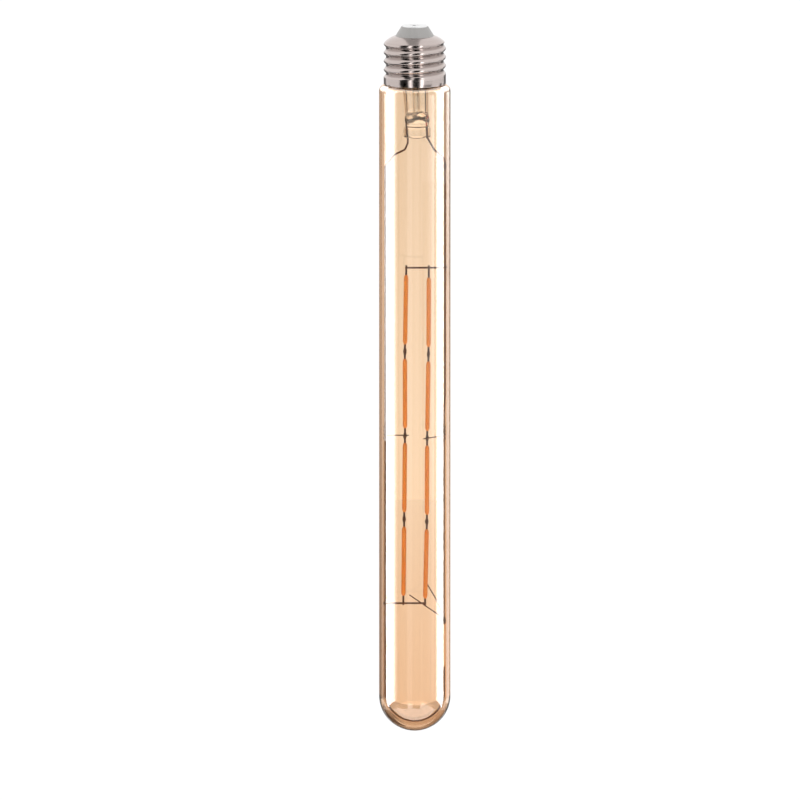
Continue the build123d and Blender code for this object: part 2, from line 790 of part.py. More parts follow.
def chip(place, size, legs_on_side):
    """A moulded chip on bent legs, with the legs along its two long sides."""
    length, depth, height = size
    out = depth / 2 + leg_reach
    mid = chip_lift + height / 2
    spacing = length / legs_on_side
    rows = [(i + 0.5) * spacing - length / 2 for i in range(legs_on_side)]
    with BuildPart() as body:
        with BuildSketch(Plane.XY.offset(board_top_z + chip_lift)):
            with Locations(place):
                Rectangle(length, depth)
        extrude(amount=height)
        chamfer(body.edges().group_by(Axis.Z)[-1], chip_edge)
        for row in rows:
            origin = (place[0] + row - leg_width / 2, place[1], board_top_z)
            with BuildSketch(Plane(origin=origin, x_dir=(0, 1, 0), z_dir=(1, 0, 0))):
                with BuildLine():
                    Polyline(
                        (-out, 0),
                        (-out, mid),
                        (out, mid),
                        (out, 0),
                        (out - leg_thickness, 0),
                        (out - leg_thickness, mid - leg_thickness),
                        (leg_thickness - out, mid - leg_thickness),
                        (leg_thickness - out, 0),
                        close=True,
                    )
                make_face()
            extrude(amount=leg_width)
    return body.part


bridge_rectifier = chip(rectifier_place, rectifier_size, 2)
bridge_rectifier.label = "bridge_rectifier"
export_step(bridge_rectifier, "parts/bridge_rectifier.step")
driver_chip = chip(chip_place, chip_size, 3)
driver_chip.label = "driver_chip"
export_step(driver_chip, "parts/driver_chip.step")

# The fusible resistor stands on its lower lead below the cap's centre
resistor_top_z = board_top_z + resistor_stand + resistor_length
with BuildPart() as fusible_resistor:
    with BuildSketch(Plane.XY.offset(board_top_z + resistor_stand)):
        with Locations(resistor_place):
            Circle(resistor_diameter / 2)
    extrude(amount=resistor_length)
    fillet(fusible_resistor.edges().filter_by(GeomType.CIRCLE), resistor_end_round)
    with BuildSketch(Plane.XY.offset(board_top_z)):
        with Locations(resistor_place):
            Circle(lead_wire_diameter / 2)
    extrude(amount=resistor_stand + resistor_end_round)
fusible_resistor.part.label = "fusible_resistor"
export_step(fusible_resistor.part, "parts/fusible_resistor.step")

with BuildLine() as contact_lead_path:
    FilletPolyline(
        (*resistor_place, resistor_top_z),
        (*resistor_place, resistor_top_z + contact_lead_rise),
        (0, 0, resistor_top_z + contact_lead_rise),
        (0, 0, contact_top_z),
        radius=contact_lead_bend,
    )
contact_lead = wire_along(contact_lead_path.wire(), lead_wire_diameter)
contact_lead.label = "contact_lead"
export_step(contact_lead, "parts/contact_lead.step")

# Solder fills the eyelet round the lead and stands as a flat button on the contact
with BuildPart() as contact_solder:
    with BuildSketch(Plane.XY.offset(contact_top_z)):
        Circle(solder_button_diameter / 2)
    extrude(amount=solder_button_height)
    fillet(contact_solder.edges().sort_by(Axis.Z)[-1], solder_button_round)
    with BuildSketch(Plane.XY.offset(contact_top_z)):
        Circle(eyelet_diameter / 2 - eyelet_wall)
    extrude(amount=-solder_plug_depth)
    add(contact_lead, mode=Mode.SUBTRACT)
contact_solder.part.label = "contact_solder"
export_step(contact_solder.part, "parts/contact_solder.step")

# The shell's lead is bent over the neck and lies against the plain skirt
shell_lead_radius = neck_radius + neck_clearance / 2
skirt_seat_radius = crest_radius - shell_wall - shell_lead_diameter / 2 - weld_gap
with BuildLine(Plane.YZ) as shell_lead_path:
    FilletPolyline(
        (neck_radius - shell_lead_inset, board_top_z),
        (neck_radius - shell_lead_inset, board_top_z + shell_lead_rise),
        (shell_lead_radius, board_top_z + shell_lead_rise),
        (shell_lead_radius, skirt_top_z),
        (skirt_seat_radius, skirt_top_z - shell_lead_length_in_skirt / 2),
        (skirt_seat_radius, skirt_top_z - shell_lead_length_in_skirt),
        radius=shell_lead_bend,
    )
shell_lead = wire_along(shell_lead_path.wire(), shell_lead_diameter)
shell_lead.label = "shell_lead"
export_step(shell_lead, "parts/shell_lead.step")

# Cement fills the skirt round the neck and over the lead
with BuildPart() as capping_cement:
    with BuildSketch(Plane.XY.offset(shoulder_z + neck_fillet)):
        Circle(crest_radius - shell_wall)
        Circle(neck_radius, mode=Mode.SUBTRACT)
    extrude(amount=skirt_top_z - shoulder_z - neck_fillet)
    add(shell_lead, mode=Mode.SUBTRACT)
capping_cement.part.label = "capping_cement"
export_step(capping_cement.part, "parts/capping_cement.step")
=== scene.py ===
"""Looks of a long tubular LED filament bulb: glass, cap, filaments and studio.

The file is laid out as an add-on. Its settings hold the sizes and colours that
a user would change, and each operator makes one piece or one group of pieces.
Everything is in metres, in the frame of the packed model: the bulb hangs cap
up, the origin is the top of the contact's solder and the filament frame lies in
the XZ plane.
"""

import math

import bmesh
import bpy
from bpy.props import FloatProperty, FloatVectorProperty, IntProperty, PointerProperty
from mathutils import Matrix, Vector, noise


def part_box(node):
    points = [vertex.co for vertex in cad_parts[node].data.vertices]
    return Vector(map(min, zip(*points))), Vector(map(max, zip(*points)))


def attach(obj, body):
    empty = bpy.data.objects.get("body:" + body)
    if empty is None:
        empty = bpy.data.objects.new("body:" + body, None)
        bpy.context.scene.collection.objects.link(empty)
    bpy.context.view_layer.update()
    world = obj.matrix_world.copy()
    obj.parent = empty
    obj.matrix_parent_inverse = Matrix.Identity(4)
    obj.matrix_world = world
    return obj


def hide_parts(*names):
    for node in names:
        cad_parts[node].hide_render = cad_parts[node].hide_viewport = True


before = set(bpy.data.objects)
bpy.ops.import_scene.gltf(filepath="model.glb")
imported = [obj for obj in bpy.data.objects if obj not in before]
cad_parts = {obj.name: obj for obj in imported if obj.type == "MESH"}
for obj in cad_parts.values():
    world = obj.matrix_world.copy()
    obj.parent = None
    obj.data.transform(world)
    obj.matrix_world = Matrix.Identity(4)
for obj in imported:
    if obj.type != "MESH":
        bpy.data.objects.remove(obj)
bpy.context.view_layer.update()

bl_info = {
    "name": "Filament Bulb",
    "version": (1, 0, 0),
    "blender": (4, 5, 0),
    "location": "3D View > Sidebar > Filament Bulb",
    "description": "Makes the looks of a tubular LED filament bulb round its model",
    "category": "Object",
}

GLASS_LOW, GLASS_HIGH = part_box("glass_envelope")
SHELL_LOW, SHELL_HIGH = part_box("cap_shell")
INSULATOR_LOW, INSULATOR_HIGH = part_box("cap_insulator")
CONTACT_LOW, CONTACT_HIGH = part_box("centre_contact")
SOLDER_LOW, SOLDER_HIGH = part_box("contact_solder")
STEM_LOW, STEM_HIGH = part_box("glass_stem")
MM = 0.001
GLASS_INDEX = 1.5
NOISE_MIDDLE = 0.5
STEM_STEPS = 128
SEAM_WAVE_LENGTH = 9.5 * MM
SEAM_PHASE = 0.25
LUMPS_PER_METRE = 900
ON_AXIS = 1e-7


def number(name, description, default, **kinds):
    """A number with its name and description."""
    return FloatProperty(name=name, description=description, default=default, **kinds)


def length(name, description, default):
    """A length in metres with its name and description."""
    return number(name, description, default, unit="LENGTH", subtype="DISTANCE", precision=5)


def colour(name, description, default):
    """A linear colour with its name and description."""
    return FloatVectorProperty(
        name=name,
        description=description,
        default=default,
        size=3,
        min=0.0,
        max=1.0,
        subtype="COLOR",
    )


class BulbGlassSettings(bpy.types.PropertyGroup):
    """Sizes and tint of the blown glass tube."""

    radius: length("Radius", "Outer radius of the tube", GLASS_HIGH.x)
    wall: length("Wall", "Thickness of the glass", 1.1 * MM)
    tip_thickening: length("Tip thickening", "Extra glass at the tip", 0.7 * MM)
    neck_radius: length("Neck radius", "Outer radius inside the cap", 11.0 * MM)
    neck_depth: length("Neck depth", "How far the neck stands in the cap", 7.3 * MM)
    neck_fillet: length("Neck fillet", "Rounding from the neck to the shoulder", 0.8 * MM)
    waviness: length("Waviness", "How far the blown wall strays from true", 0.006 * MM)
    tint: colour("Tint", "Colour of light through one surface", (0.985, 0.91, 0.805))
    low_tint: colour("Low tint", "Colour near the round end", (0.955, 0.815, 0.675))
    # Painted shade where the wall is seen on edge
    painted_edge_shade: colour("Edge tint", "Colour where the wall is seen on edge", (0.90, 0.80, 0.69))
    edge_start: number("Edge start", "Slant of the wall where the edge tint starts", 0.74)
    edge_full: number("Edge full", "Slant of the wall where the edge tint is full", 0.88)
    depth_colour: colour("Depth colour", "Colour that thick glass keeps", (0.92, 0.60, 0.28))
    density: number("Density", "Absorption inside the wall, per metre", 250.0)


class BulbCapSettings(bpy.types.PropertyGroup):
    """Sizes and finish of the screw cap, its insulator and contact."""

    thread_pitch: length("Thread pitch", "Rise of one turn", 25.4 * MM / 7)
    thread_turns: number("Thread turns", "Turns rolled", 3.5)
    thread_depth: length("Thread depth", "From crest to root", 1.0 * MM)
    lead_in: length("Lead-in", "Cone edge to the first full turn", 0.9 * MM)
    run_out: length("Run-out", "Last turn to the plain skirt", 1.1 * MM)
    cone_height: length("Cone height", "Height of the metal cone", 2.6 * MM)
    cone_bulge: length("Cone bulge", "How far the metal cone swells", 0.35 * MM)
    cone_top_radius: length("Cone top radius", "Radius at the insulator", 8.1 * MM)
    lip: length("Lip", "Width of the lip round the insulator", 0.9 * MM)
    wall: length("Wall", "Thickness of the rolled shell", 0.35 * MM)
    metal: colour("Metal", "Plated shell", (0.56, 0.485, 0.46))
    # Painted shade in the thread's roots
    painted_groove_shade: colour("Groove", "Tarnish in the thread's grooves", (0.33, 0.27, 0.25))
    insulator: colour("Insulator", "Moulded insulator", (0.36, 0.35, 0.34))
    contact: colour("Contact", "Contact disc", (0.88, 0.88, 0.88))
    solder: colour("Solder", "Solder on the contact", (0.80, 0.80, 0.80))


class BulbStemSettings(bpy.types.PropertyGroup):
    """Sizes and tint of the glass stem."""

    radius: length("Radius", "Outer radius of the stem tube", 5.6 * MM)
    lower_radius: length("Lower radius", "Outer radius above the pinch", 4.9 * MM)
    wall: length("Wall", "Thickness of the stem tube", 0.6 * MM)
    foot_width: length("Foot width", "Width of the pressed foot", 11.2 * MM)
    foot_depth: length("Foot depth", "Depth of the pressed foot", 4.8 * MM)
    foot_height: length("Foot height", "Height of the pressed foot", 5.0 * MM)
    pinch_width: length("Pinch width", "Width of the pinched glass", 10.4 * MM)
    pinch_depth: length("Pinch depth", "Depth of the pinched glass", 4.2 * MM)
    lean: length("Lean", "How far the foot stands off the axis", 1.0 * MM)
    tint: colour("Tint", "Clear glass", (0.97, 0.97, 0.96))
    # Painted shade: a dark wavy band along the pressed seam and thin dark lines at the foot's edges
    painted_seam_shade: colour("Smoke", "Darkening in the pressed seam", (0.035, 0.02, 0.014))
    seam: length("Seam", "Height of the dark pressed seam", 1.1 * MM)
    seam_wave: length("Seam wave", "Swing of the pressed seam", 0.85 * MM)
    outline: length("Outline", "Height of the dark lines at the foot's edges", 0.26 * MM)


class BulbFrameSettings(bpy.types.PropertyGroup):
    """Finishes of the wires, strips and phosphor coats."""

    wire: colour("Wire", "Support wires", (0.12, 0.050, 0.026))
    lead: colour("Lead", "Leads in the stem", (0.14, 0.060, 0.030))
    seal_wire: colour("Seal wire", "Copper clad wire in the seal", (0.75, 0.10, 0.05))
    strip: colour("Strip", "Filament strips and pins", (0.085, 0.036, 0.018))
    coat: colour("Coat", "Phosphor silicone", (0.74, 0.275, 0.030))
    coat_pale: colour("Coat, pale", "Phosphor where it is thinner", (0.86, 0.335, 0.038))


class BulbStudioSettings(bpy.types.PropertyGroup):
    """The floor, lights and camera."""

    floor_drop: length("Floor drop", "Floor below the glass", 0.5)
    floor_radius: length("Floor radius", "Radius of the floor", 14.0)
    sky: number("Sky", "Strength of the even light", 1.12)
    band_light: number("Side lights", "Radiance of the tall side lights", 15.0)
    elevation: number(
        "Elevation",
        "Camera above the horizon",
        math.radians(9.0),
        unit="ROTATION",
        subtype="ANGLE",
    )
    shade: colour("Shade", "Colour of the dark cards behind the glass", (1.0, 0.84, 0.70))
    lens: number("Lens", "Focal length in mm", 1203.4)
    distance: length("Distance", "Camera to the bulb", 11.23)
    aim_x: length("Aim across", "Point at the picture's centre, across", -6.2 * MM)
    aim_z: length("Aim height", "Point at the picture's centre, in height", -159.3 * MM)
    segments: IntProperty(name="Segments", description="Steps round a turned piece", default=192)


# Mesh tools


def between(first, last, share):
    """The value at a share of the way from the first to the last."""
    return first + (last - first) * share


def eased(share):
    """The share, with a soft start and end to its rise."""
    return 3 * share**2 - 2 * share**3


def shares(steps, start=1):
    """Shares of a span in equal steps, up to the whole."""
    return [step / steps for step in range(start, steps + 1)]


def outward(point):
    """The level direction from the Z axis to the point."""
    return Vector((point.x, point.y, 0)).normalized()


def arc(centre, radius, start, end, steps):
    """Points on an arc in a half section, angles in degrees."""
    points = []
    for share in shares(steps, 0):
        angle = math.radians(between(start, end, share))
        points.append(
            (centre[0] + radius * math.cos(angle), centre[1] + radius * math.sin(angle))
        )
    return points


def circle(radius, z, count, centre=(0.0, 0.0)):
    """One level ring of points."""
    return [Vector((x, y, z)) for x, y in arc(centre, radius, 0, 360, count)[:-1]]


def turned_rings(profile, count):
    """Rings of a profile of (radius, z) turned round the Z axis."""
    rings = []
    for radius, z in profile:
        rings.append([Vector((0, 0, z))] if radius < ON_AXIS else circle(radius, z, count))
    return rings


def set_along(rings, start, axis):
    """Turns rings made along Z onto the axis and moves them to the start."""
    turn = Vector((0, 0, 1)).rotation_difference(axis)
    for ring in rings:
        for point in ring:
            point.rotate(turn)
            point += start


def add_object(name, data):
    """A new object in the scene."""
    made = bpy.data.objects.new(name, data)
    bpy.context.scene.collection.objects.link(made)
    return made


def skin(name, rings, crisp=40, loop=False):
    """A smooth mesh stretched over rings, with crisp edges from that angle in degrees.

    A ring of one point closes an end, and a loop joins the last ring to the first.
    """
    points = []
    starts = []
    for ring in rings:
        starts.append(len(points))
        points.extend(ring)
    faces = []
    for low in range(len(rings) if loop else len(rings) - 1):
        high = (low + 1) % len(rings)
        low_ring, high_ring = rings[low], rings[high]
        count = max(len(low_ring), len(high_ring))
        for step in range(count):
            turn = (step + 1) % count
            if len(low_ring) == 1:
                corners = (starts[low], starts[high] + turn, starts[high] + step)
            elif len(high_ring) == 1:
                corners = (starts[low] + step, starts[low] + turn, starts[high])
            else:
                corners = (
                    starts[low] + step,
                    starts[low] + turn,
                    starts[high] + turn,
                    starts[high] + step,
                )
            faces.append(corners)
    mesh = bpy.data.meshes.new(name)
    mesh.from_pydata([tuple(point) for point in points], [], faces)
    work = bmesh.new()
    work.from_mesh(mesh)
    bmesh.ops.recalc_face_normals(work, faces=work.faces)
    work.to_mesh(mesh)
    work.free()
    mesh.polygons.foreach_set("use_smooth", [True] * len(mesh.polygons))
    mesh.set_sharp_from_angle(angle=math.radians(crisp))
    return add_object(name, mesh)


def dress(piece, material, slot, *nodes):
    """Gives a made piece its material and its body, and hides the nodes that it stands for."""
    piece.data.materials.append(material)
    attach(piece, "root")
    if nodes:
        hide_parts(*nodes)


def dress_node(name, material):
    """Gives a node of the packed model a finished material."""
    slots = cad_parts[name].data.materials
    slots.clear()
    slots.append(material)


# Shader tools


def feed(tree, socket, value):
    """Links an input to a socket, or sets it to a value or an opaque colour."""
    if isinstance(value, bpy.types.NodeSocket):
        tree.links.new(value, socket)
    elif socket.type == "RGBA":
        socket.default_value = (*value[:3], 1)
    else:
        socket.default_value = value


def node(tree, kind, at, *values, **named):
    """Adds a node with its modes, which are lower-case names, and its inputs.

    An input takes a value or the socket that feeds it. Inputs without a name are
    given in their own order.
    """
    made = tree.nodes.new(kind)
    made.location = at
    modes = [key for key in named if key.islower()]
    for key in modes:
        setattr(made, key, named.pop(key))
    for socket, value in zip(made.inputs, values):
        feed(tree, socket, value)
    for key, value in named.items():
        feed(tree, made.inputs[key.replace("_", " ")], value)
    return made


def maths(tree, at, operation, *values):
    """The result of a math node on values or sockets."""
    return node(tree, "ShaderNodeMath", at, *values, operation=operation).outputs[0]


def blend(tree, at, factor, first, second):
    """The mix of two colours."""
    mix = node(tree, "ShaderNodeMix", at, data_type="RGBA", Factor=factor, A=first, B=second)
    return mix.outputs["Result"]


def ramp(tree, at, kind, value, low, high, start=0.0, end=1.0):
    """A mask that runs from start to end while the value goes from low to high."""
    values = (value, low, high, start, end)
    return node(tree, "ShaderNodeMapRange", at, *values, interpolation_type=kind).outputs["Result"]


def strongest(tree, x, masks):
    """The highest of the masks at each point."""
    highest = masks[0]
    for step, mask in enumerate(masks[1:]):
        highest = maths(tree, (x, 450 + 200 * step), "MAXIMUM", highest, mask)
    return highest


def new_group(name, inputs, outputs):
    """A group of shader nodes, the values that enter it and the sockets that leave it."""
    tree = bpy.data.node_groups.new(name, "ShaderNodeTree")
    for label, kind, value in inputs:
        made = tree.interface.new_socket(label, in_out="INPUT", socket_type=f"NodeSocket{kind}")
        made.default_value = value
    for label, kind in outputs:
        tree.interface.new_socket(label, in_out="OUTPUT", socket_type=f"NodeSocket{kind}")
    enter = node(tree, "NodeGroupInput", (-1100, 0)).outputs
    return tree, enter, node(tree, "NodeGroupOutput", (800, 0)).inputs


def placed(tree, at, name, build, *values):
    """The outputs of a node of the named group, which is built once, with its own values."""
    group = bpy.data.node_groups.get(name) or build(name)
    return node(tree, "ShaderNodeGroup", at, *values, node_tree=group).outputs


def grain_group(name):
    """Fine grain: mottled colour, uneven roughness and a bumpy normal."""
    inputs = (
        ("Colour", "Color", (0.5, 0.5, 0.5, 1)),
        ("Second Colour", "Color", (0.4, 0.4, 0.4, 1)),
        ("Stretch", "Vector", (1, 1, 1)),
        ("Scale", "Float", 800.0),
        ("Roughness", "Float", 0.4),
        ("Roughness Spread", "Float", 0.1),
        ("Bump", "Float", 0.1),
        ("Bump Depth", "Float", 0.05 * MM),
    )
    outputs = (("Colour", "Color"), ("Roughness", "Float"), ("Normal", "Vector"))
    tree, given, leave = new_group(name, inputs, outputs)
    place = node(tree, "ShaderNodeTexCoord", (-900, -300)).outputs["Object"]
    stretched = node(
        tree, "ShaderNodeVectorMath", (-700, -200), place, given["Stretch"], operation="MULTIPLY"
    )
    speckle = node(
        tree,
        "ShaderNodeTexNoise",
        (-520, -100),
        Vector=stretched.outputs[0],
        Scale=given["Scale"],
        Detail=4.0,
        Roughness=0.55,
    ).outputs["Fac"]
    mottled = blend(tree, (-200, 200), speckle, given["Colour"], given["Second Colour"])
    centred = maths(tree, (-360, 0), "SUBTRACT", speckle, NOISE_MIDDLE)
    around = (given["Roughness Spread"], given["Roughness"])
    roughness = maths(tree, (-180, 0), "MULTIPLY_ADD", centred, *around)
    bump = node(
        tree,
        "ShaderNodeBump",
        (0, -200),
        Height=speckle,
        Strength=given["Bump"],
        Distance=given["Bump Depth"],
    )
    feed(tree, leave["Colour"], mottled)
    feed(tree, leave["Roughness"], roughness)
    feed(tree, leave["Normal"], bump.outputs["Normal"])
    return tree


def range_group(name):
    """Between levels: masks that rise from the first level to the second."""
    inputs = (("Low", "Float", 0.0), ("High", "Float", 1.0), ("Ragged", "Float", 0.0))
    outputs = (("By Height", "Float"), ("By Radius", "Float"))
    tree, given, leave = new_group(name, inputs, outputs)
    place = node(tree, "ShaderNodeTexCoord", (-900, 300)).outputs["Object"]
    parts = node(tree, "ShaderNodeSeparateXYZ", (-700, 300), place).outputs
    flat = node(tree, "ShaderNodeCombineXYZ", (-500, 300), parts["X"], parts["Y"]).outputs[0]
    away = node(tree, "ShaderNodeVectorMath", (-300, 300), flat, operation="LENGTH")
    speckle = node(tree, "ShaderNodeTexNoise", (-700, 520), Vector=place, Scale=350.0, Detail=3.0)
    centred = maths(tree, (-500, 520), "SUBTRACT", speckle.outputs["Fac"], NOISE_MIDDLE)
    for label, measure, y in (
        ("By Height", parts["Z"], 0),
        ("By Radius", away.outputs["Value"], -250),
    ):
        wobble = maths(tree, (60, y), "MULTIPLY_ADD", centred, given["Ragged"], measure)
        rise = ramp(tree, (300, y), "SMOOTHSTEP", wobble, given["Low"], given["High"])
        feed(tree, leave[label], rise)
    return tree


def seam_group(name):
    """Pressed seam: a mask for painted shade, strong along a wavy level band of the object."""
    inputs = (
        ("Height", "Float", -41.3 * MM),
        ("Thickness", "Float", 0.7 * MM),
        ("Wave", "Float", 1.1 * MM),
        ("Wave Length", "Float", SEAM_WAVE_LENGTH),
        ("Phase", "Float", SEAM_PHASE),
    )
    tree, given, leave = new_group(name, inputs, (("Mask", "Float"),))
    place = node(tree, "ShaderNodeTexCoord", (-1100, 300)).outputs["Object"]
    parts = node(tree, "ShaderNodeSeparateXYZ", (-900, 300), place).outputs
    speckle = node(tree, "ShaderNodeTexNoise", (-900, 550), Vector=place, Scale=700.0, Detail=2.0)
    turns = maths(tree, (-700, 300), "DIVIDE", parts["X"], given["Wave Length"])
    angle = maths(tree, (-520, 300), "MULTIPLY", turns, 2 * math.pi)
    shifted = maths(tree, (-340, 300), "ADD", angle, given["Phase"])
    swing = maths(tree, (-160, 300), "SINE", shifted)
    lift = maths(tree, (20, 300), "MULTIPLY", swing, given["Wave"])
    level = maths(tree, (200, 300), "ADD", lift, given["Height"])
    off = maths(tree, (200, 100), "SUBTRACT", parts["Z"], level)
    near = maths(tree, (380, 100), "ABSOLUTE", off)
    ragged = maths(tree, (200, -100), "MULTIPLY", speckle.outputs["Fac"], 2.0)
    reach = maths(tree, (380, -100), "MULTIPLY", given["Thickness"], ragged)
    share = maths(tree, (540, 0), "DIVIDE", near, reach)
    solid, gone = 0.5, 1.1
    fade = ramp(tree, (600, 200), "SMOOTHSTEP", share, solid, gone, start=1.0, end=0.0)
    feed(tree, leave["Mask"], fade)
    return tree


def empty_material(name):
    """A material with its output alone."""
    material = bpy.data.materials.new(name)
    material.use_nodes = True
    tree = material.node_tree
    tree.nodes.clear()
    return material, tree, node(tree, "ShaderNodeOutputMaterial", (600, 0))


def blank_material(name, **inputs):
    """A material with only its output, a Principled shader and a link between."""
    material, tree, output = empty_material(name)
    shader = node(tree, "ShaderNodeBsdfPrincipled", (200, 0), **inputs)
    feed(tree, output.inputs["Surface"], shader.outputs[0])
    return material, tree, shader, output


def grained(
    name,
    first,
    second,
    metallic=0.0,
    roughness=0.4,
    spread=0.1,
    scale=900.0,
    stretch=(1, 1, 1),
    bump=0.1,
    depth=0.04 * MM,
    subsurface=0.0,
    specular=0.5,
):
    """A finish whose colour, roughness and normal come from the fine grain."""
    material, tree, shader, _ = blank_material(
        name,
        Metallic=metallic,
        Specular_IOR_Level=specular,
        Subsurface_Weight=subsurface,
        Subsurface_Scale=0.3 * MM,
    )
    values = (first, second, stretch, scale, roughness, spread, bump, depth)
    grain = placed(tree, (-100, 0), "Fine grain", grain_group, *values)
    feed(tree, shader.inputs["Base Color"], grain["Colour"])
    feed(tree, shader.inputs["Roughness"], grain["Roughness"])
    feed(tree, shader.inputs["Normal"], grain["Normal"])
    return material


def dull_metal(name, first, second, roughness=0.5, **grain):
    """A dark finish with little shine, for wires, strips and welds."""
    return grained(name, first, second, 0.1, roughness, specular=0.2, **grain)


def shaded(material, shade, ragged, *limits):
    """Turns the base colour to the shade where every limit is undercut.

    A limit is what is measured, height or radius, with its low and high level.
    """
    tree = material.node_tree
    socket = tree.nodes["Principled BSDF"].inputs["Base Color"]
    masks = []
    for step, (by, low, high) in enumerate(limits):
        at = (-700, 300 + 200 * step)
        masks.append(placed(tree, at, "Between levels", range_group, low, high, ragged)[by])
    plain = socket.links[0].from_socket
    feed(tree, socket, blend(tree, (-100, 300), strongest(tree, -400, masks), shade, plain))


def darker(shade, share):
    """The colour with a share of its light taken away."""
    return tuple(channel * (1 - share) for channel in shade)


def finish_glass(tree, shader, output, colour_socket, tint):
    """Colours the glass and lets lamps shine through it, tinted, with no dark shadow."""
    feed(tree, shader.inputs["Base Color"], colour_socket)
    clear = node(tree, "ShaderNodeBsdfTransparent", (200, -400), tint)
    path = node(tree, "ShaderNodeLightPath", (200, 300))
    ways = (path.outputs["Is Shadow Ray"], shader.outputs[0], clear.outputs[0])
    mix = node(tree, "ShaderNodeMixShader", (420, 0), *ways)
    feed(tree, output.inputs["Surface"], mix.outputs[0])


def blank_glass(name):
    """A blank material set to clear glass."""
    return blank_material(name, Transmission_Weight=1.0, Roughness=0.0, IOR=GLASS_INDEX)


def amber_glass_material(glass):
    """Amber glass, deeper towards the round end, with painted shade where the wall is seen on edge.
    """
    material, tree, shader, output = blank_glass("Amber glass")
    middle = (GLASS_LOW.z + GLASS_HIGH.z) / 2
    levels = placed(tree, (-700, 450), "Between levels", range_group, GLASS_LOW.z, middle)
    by_height = blend(tree, (-450, 450), levels["By Height"], glass.low_tint, glass.tint)
    # Painted shade: the colour darkens where the wall is seen on edge
    slant = node(tree, "ShaderNodeLayerWeight", (-700, 200), Blend=0.5).outputs["Facing"]
    edge = ramp(tree, (-450, 200), "LINEAR", slant, glass.edge_start, glass.edge_full)
    tinted = blend(tree, (-200, 200), edge, by_height, glass.painted_edge_shade)
    finish_glass(tree, shader, output, tinted, glass.tint)
    depth = node(tree, "ShaderNodeVolumeAbsorption", (200, -250), glass.depth_colour, glass.density)
    feed(tree, output.inputs["Volume"], depth.outputs[0])
    return material


def clear_glass_material(stem, seams):
    """Clear glass with painted shade along wavy seams where the stem was pressed.

    A seam is its height, thickness, swing, wave length and phase.
    """
    material, tree, shader, output = blank_glass("Clear stem glass")
    masks = []
    for step, values in enumerate(seams):
        at = (-700, 200 + 250 * step)
        masks.append(placed(tree, at, "Pressed seam", seam_group, *values)["Mask"])
    tinted = blend(tree, (-200, 200), strongest(tree, -450, masks), stem.tint, stem.painted_seam_shade)
    finish_glass(tree, shader, output, tinted, stem.tint)
    return material


# Operators


class FILAMENT_BULB_OT_make_glass(bpy.types.Operator):
    """Blow the amber glass: neck, rounded shoulder, long tube and round end"""

    bl_idname = "filament_bulb.make_glass"
    bl_label = "Glass Tube"

    def half_section(self, glass, inset):
        """Profile from the neck's rim to the tip, inset by the wall for the inside."""
        rim_z = GLASS_HIGH.z
        dome_z = GLASS_LOW.z + glass.radius
        if inset:
            dome_z += glass.tip_thickening
        neck = glass.neck_radius - inset
        turn = glass.neck_fillet + inset
        crown = glass.radius - glass.neck_radius - glass.neck_fillet - inset
        level = rim_z - glass.neck_depth - inset
        body = glass.radius - inset
        points = [(neck, rim_z)]
        points += arc((neck + turn, level + turn), turn, 180, 270, 8)
        points += arc((neck + turn, level - crown), crown, 90, 0, 16)[1:]
        for share in shares(80)[:-1]:
            points.append((body, between(level - crown, dome_z, share)))
        points += arc((0, dome_z), body, 0, -90, 40)[:-1]
        points.append((0.0, dome_z - body))
        return points

    def execute(self, context):
        glass = context.scene.bulb_glass
        inner = self.half_section(glass, glass.wall)
        outer = self.half_section(glass, 0.0)
        rings = turned_rings(list(reversed(inner)) + outer, context.scene.bulb_studio.segments)
        waves_round, waves_along = 1.3, 22
        for ring in rings:
            if len(ring) == 1:
                continue
            for point in ring:
                out = outward(point)
                place = Vector((out.x * waves_round, out.y * waves_round, point.z * waves_along))
                point -= out * glass.waviness * (0.5 + 0.5 * noise.noise(place))
        piece = skin("bulb_glass", rings)
        dress(piece, amber_glass_material(glass), "amber_glass", "glass_envelope")
        return {"FINISHED"}


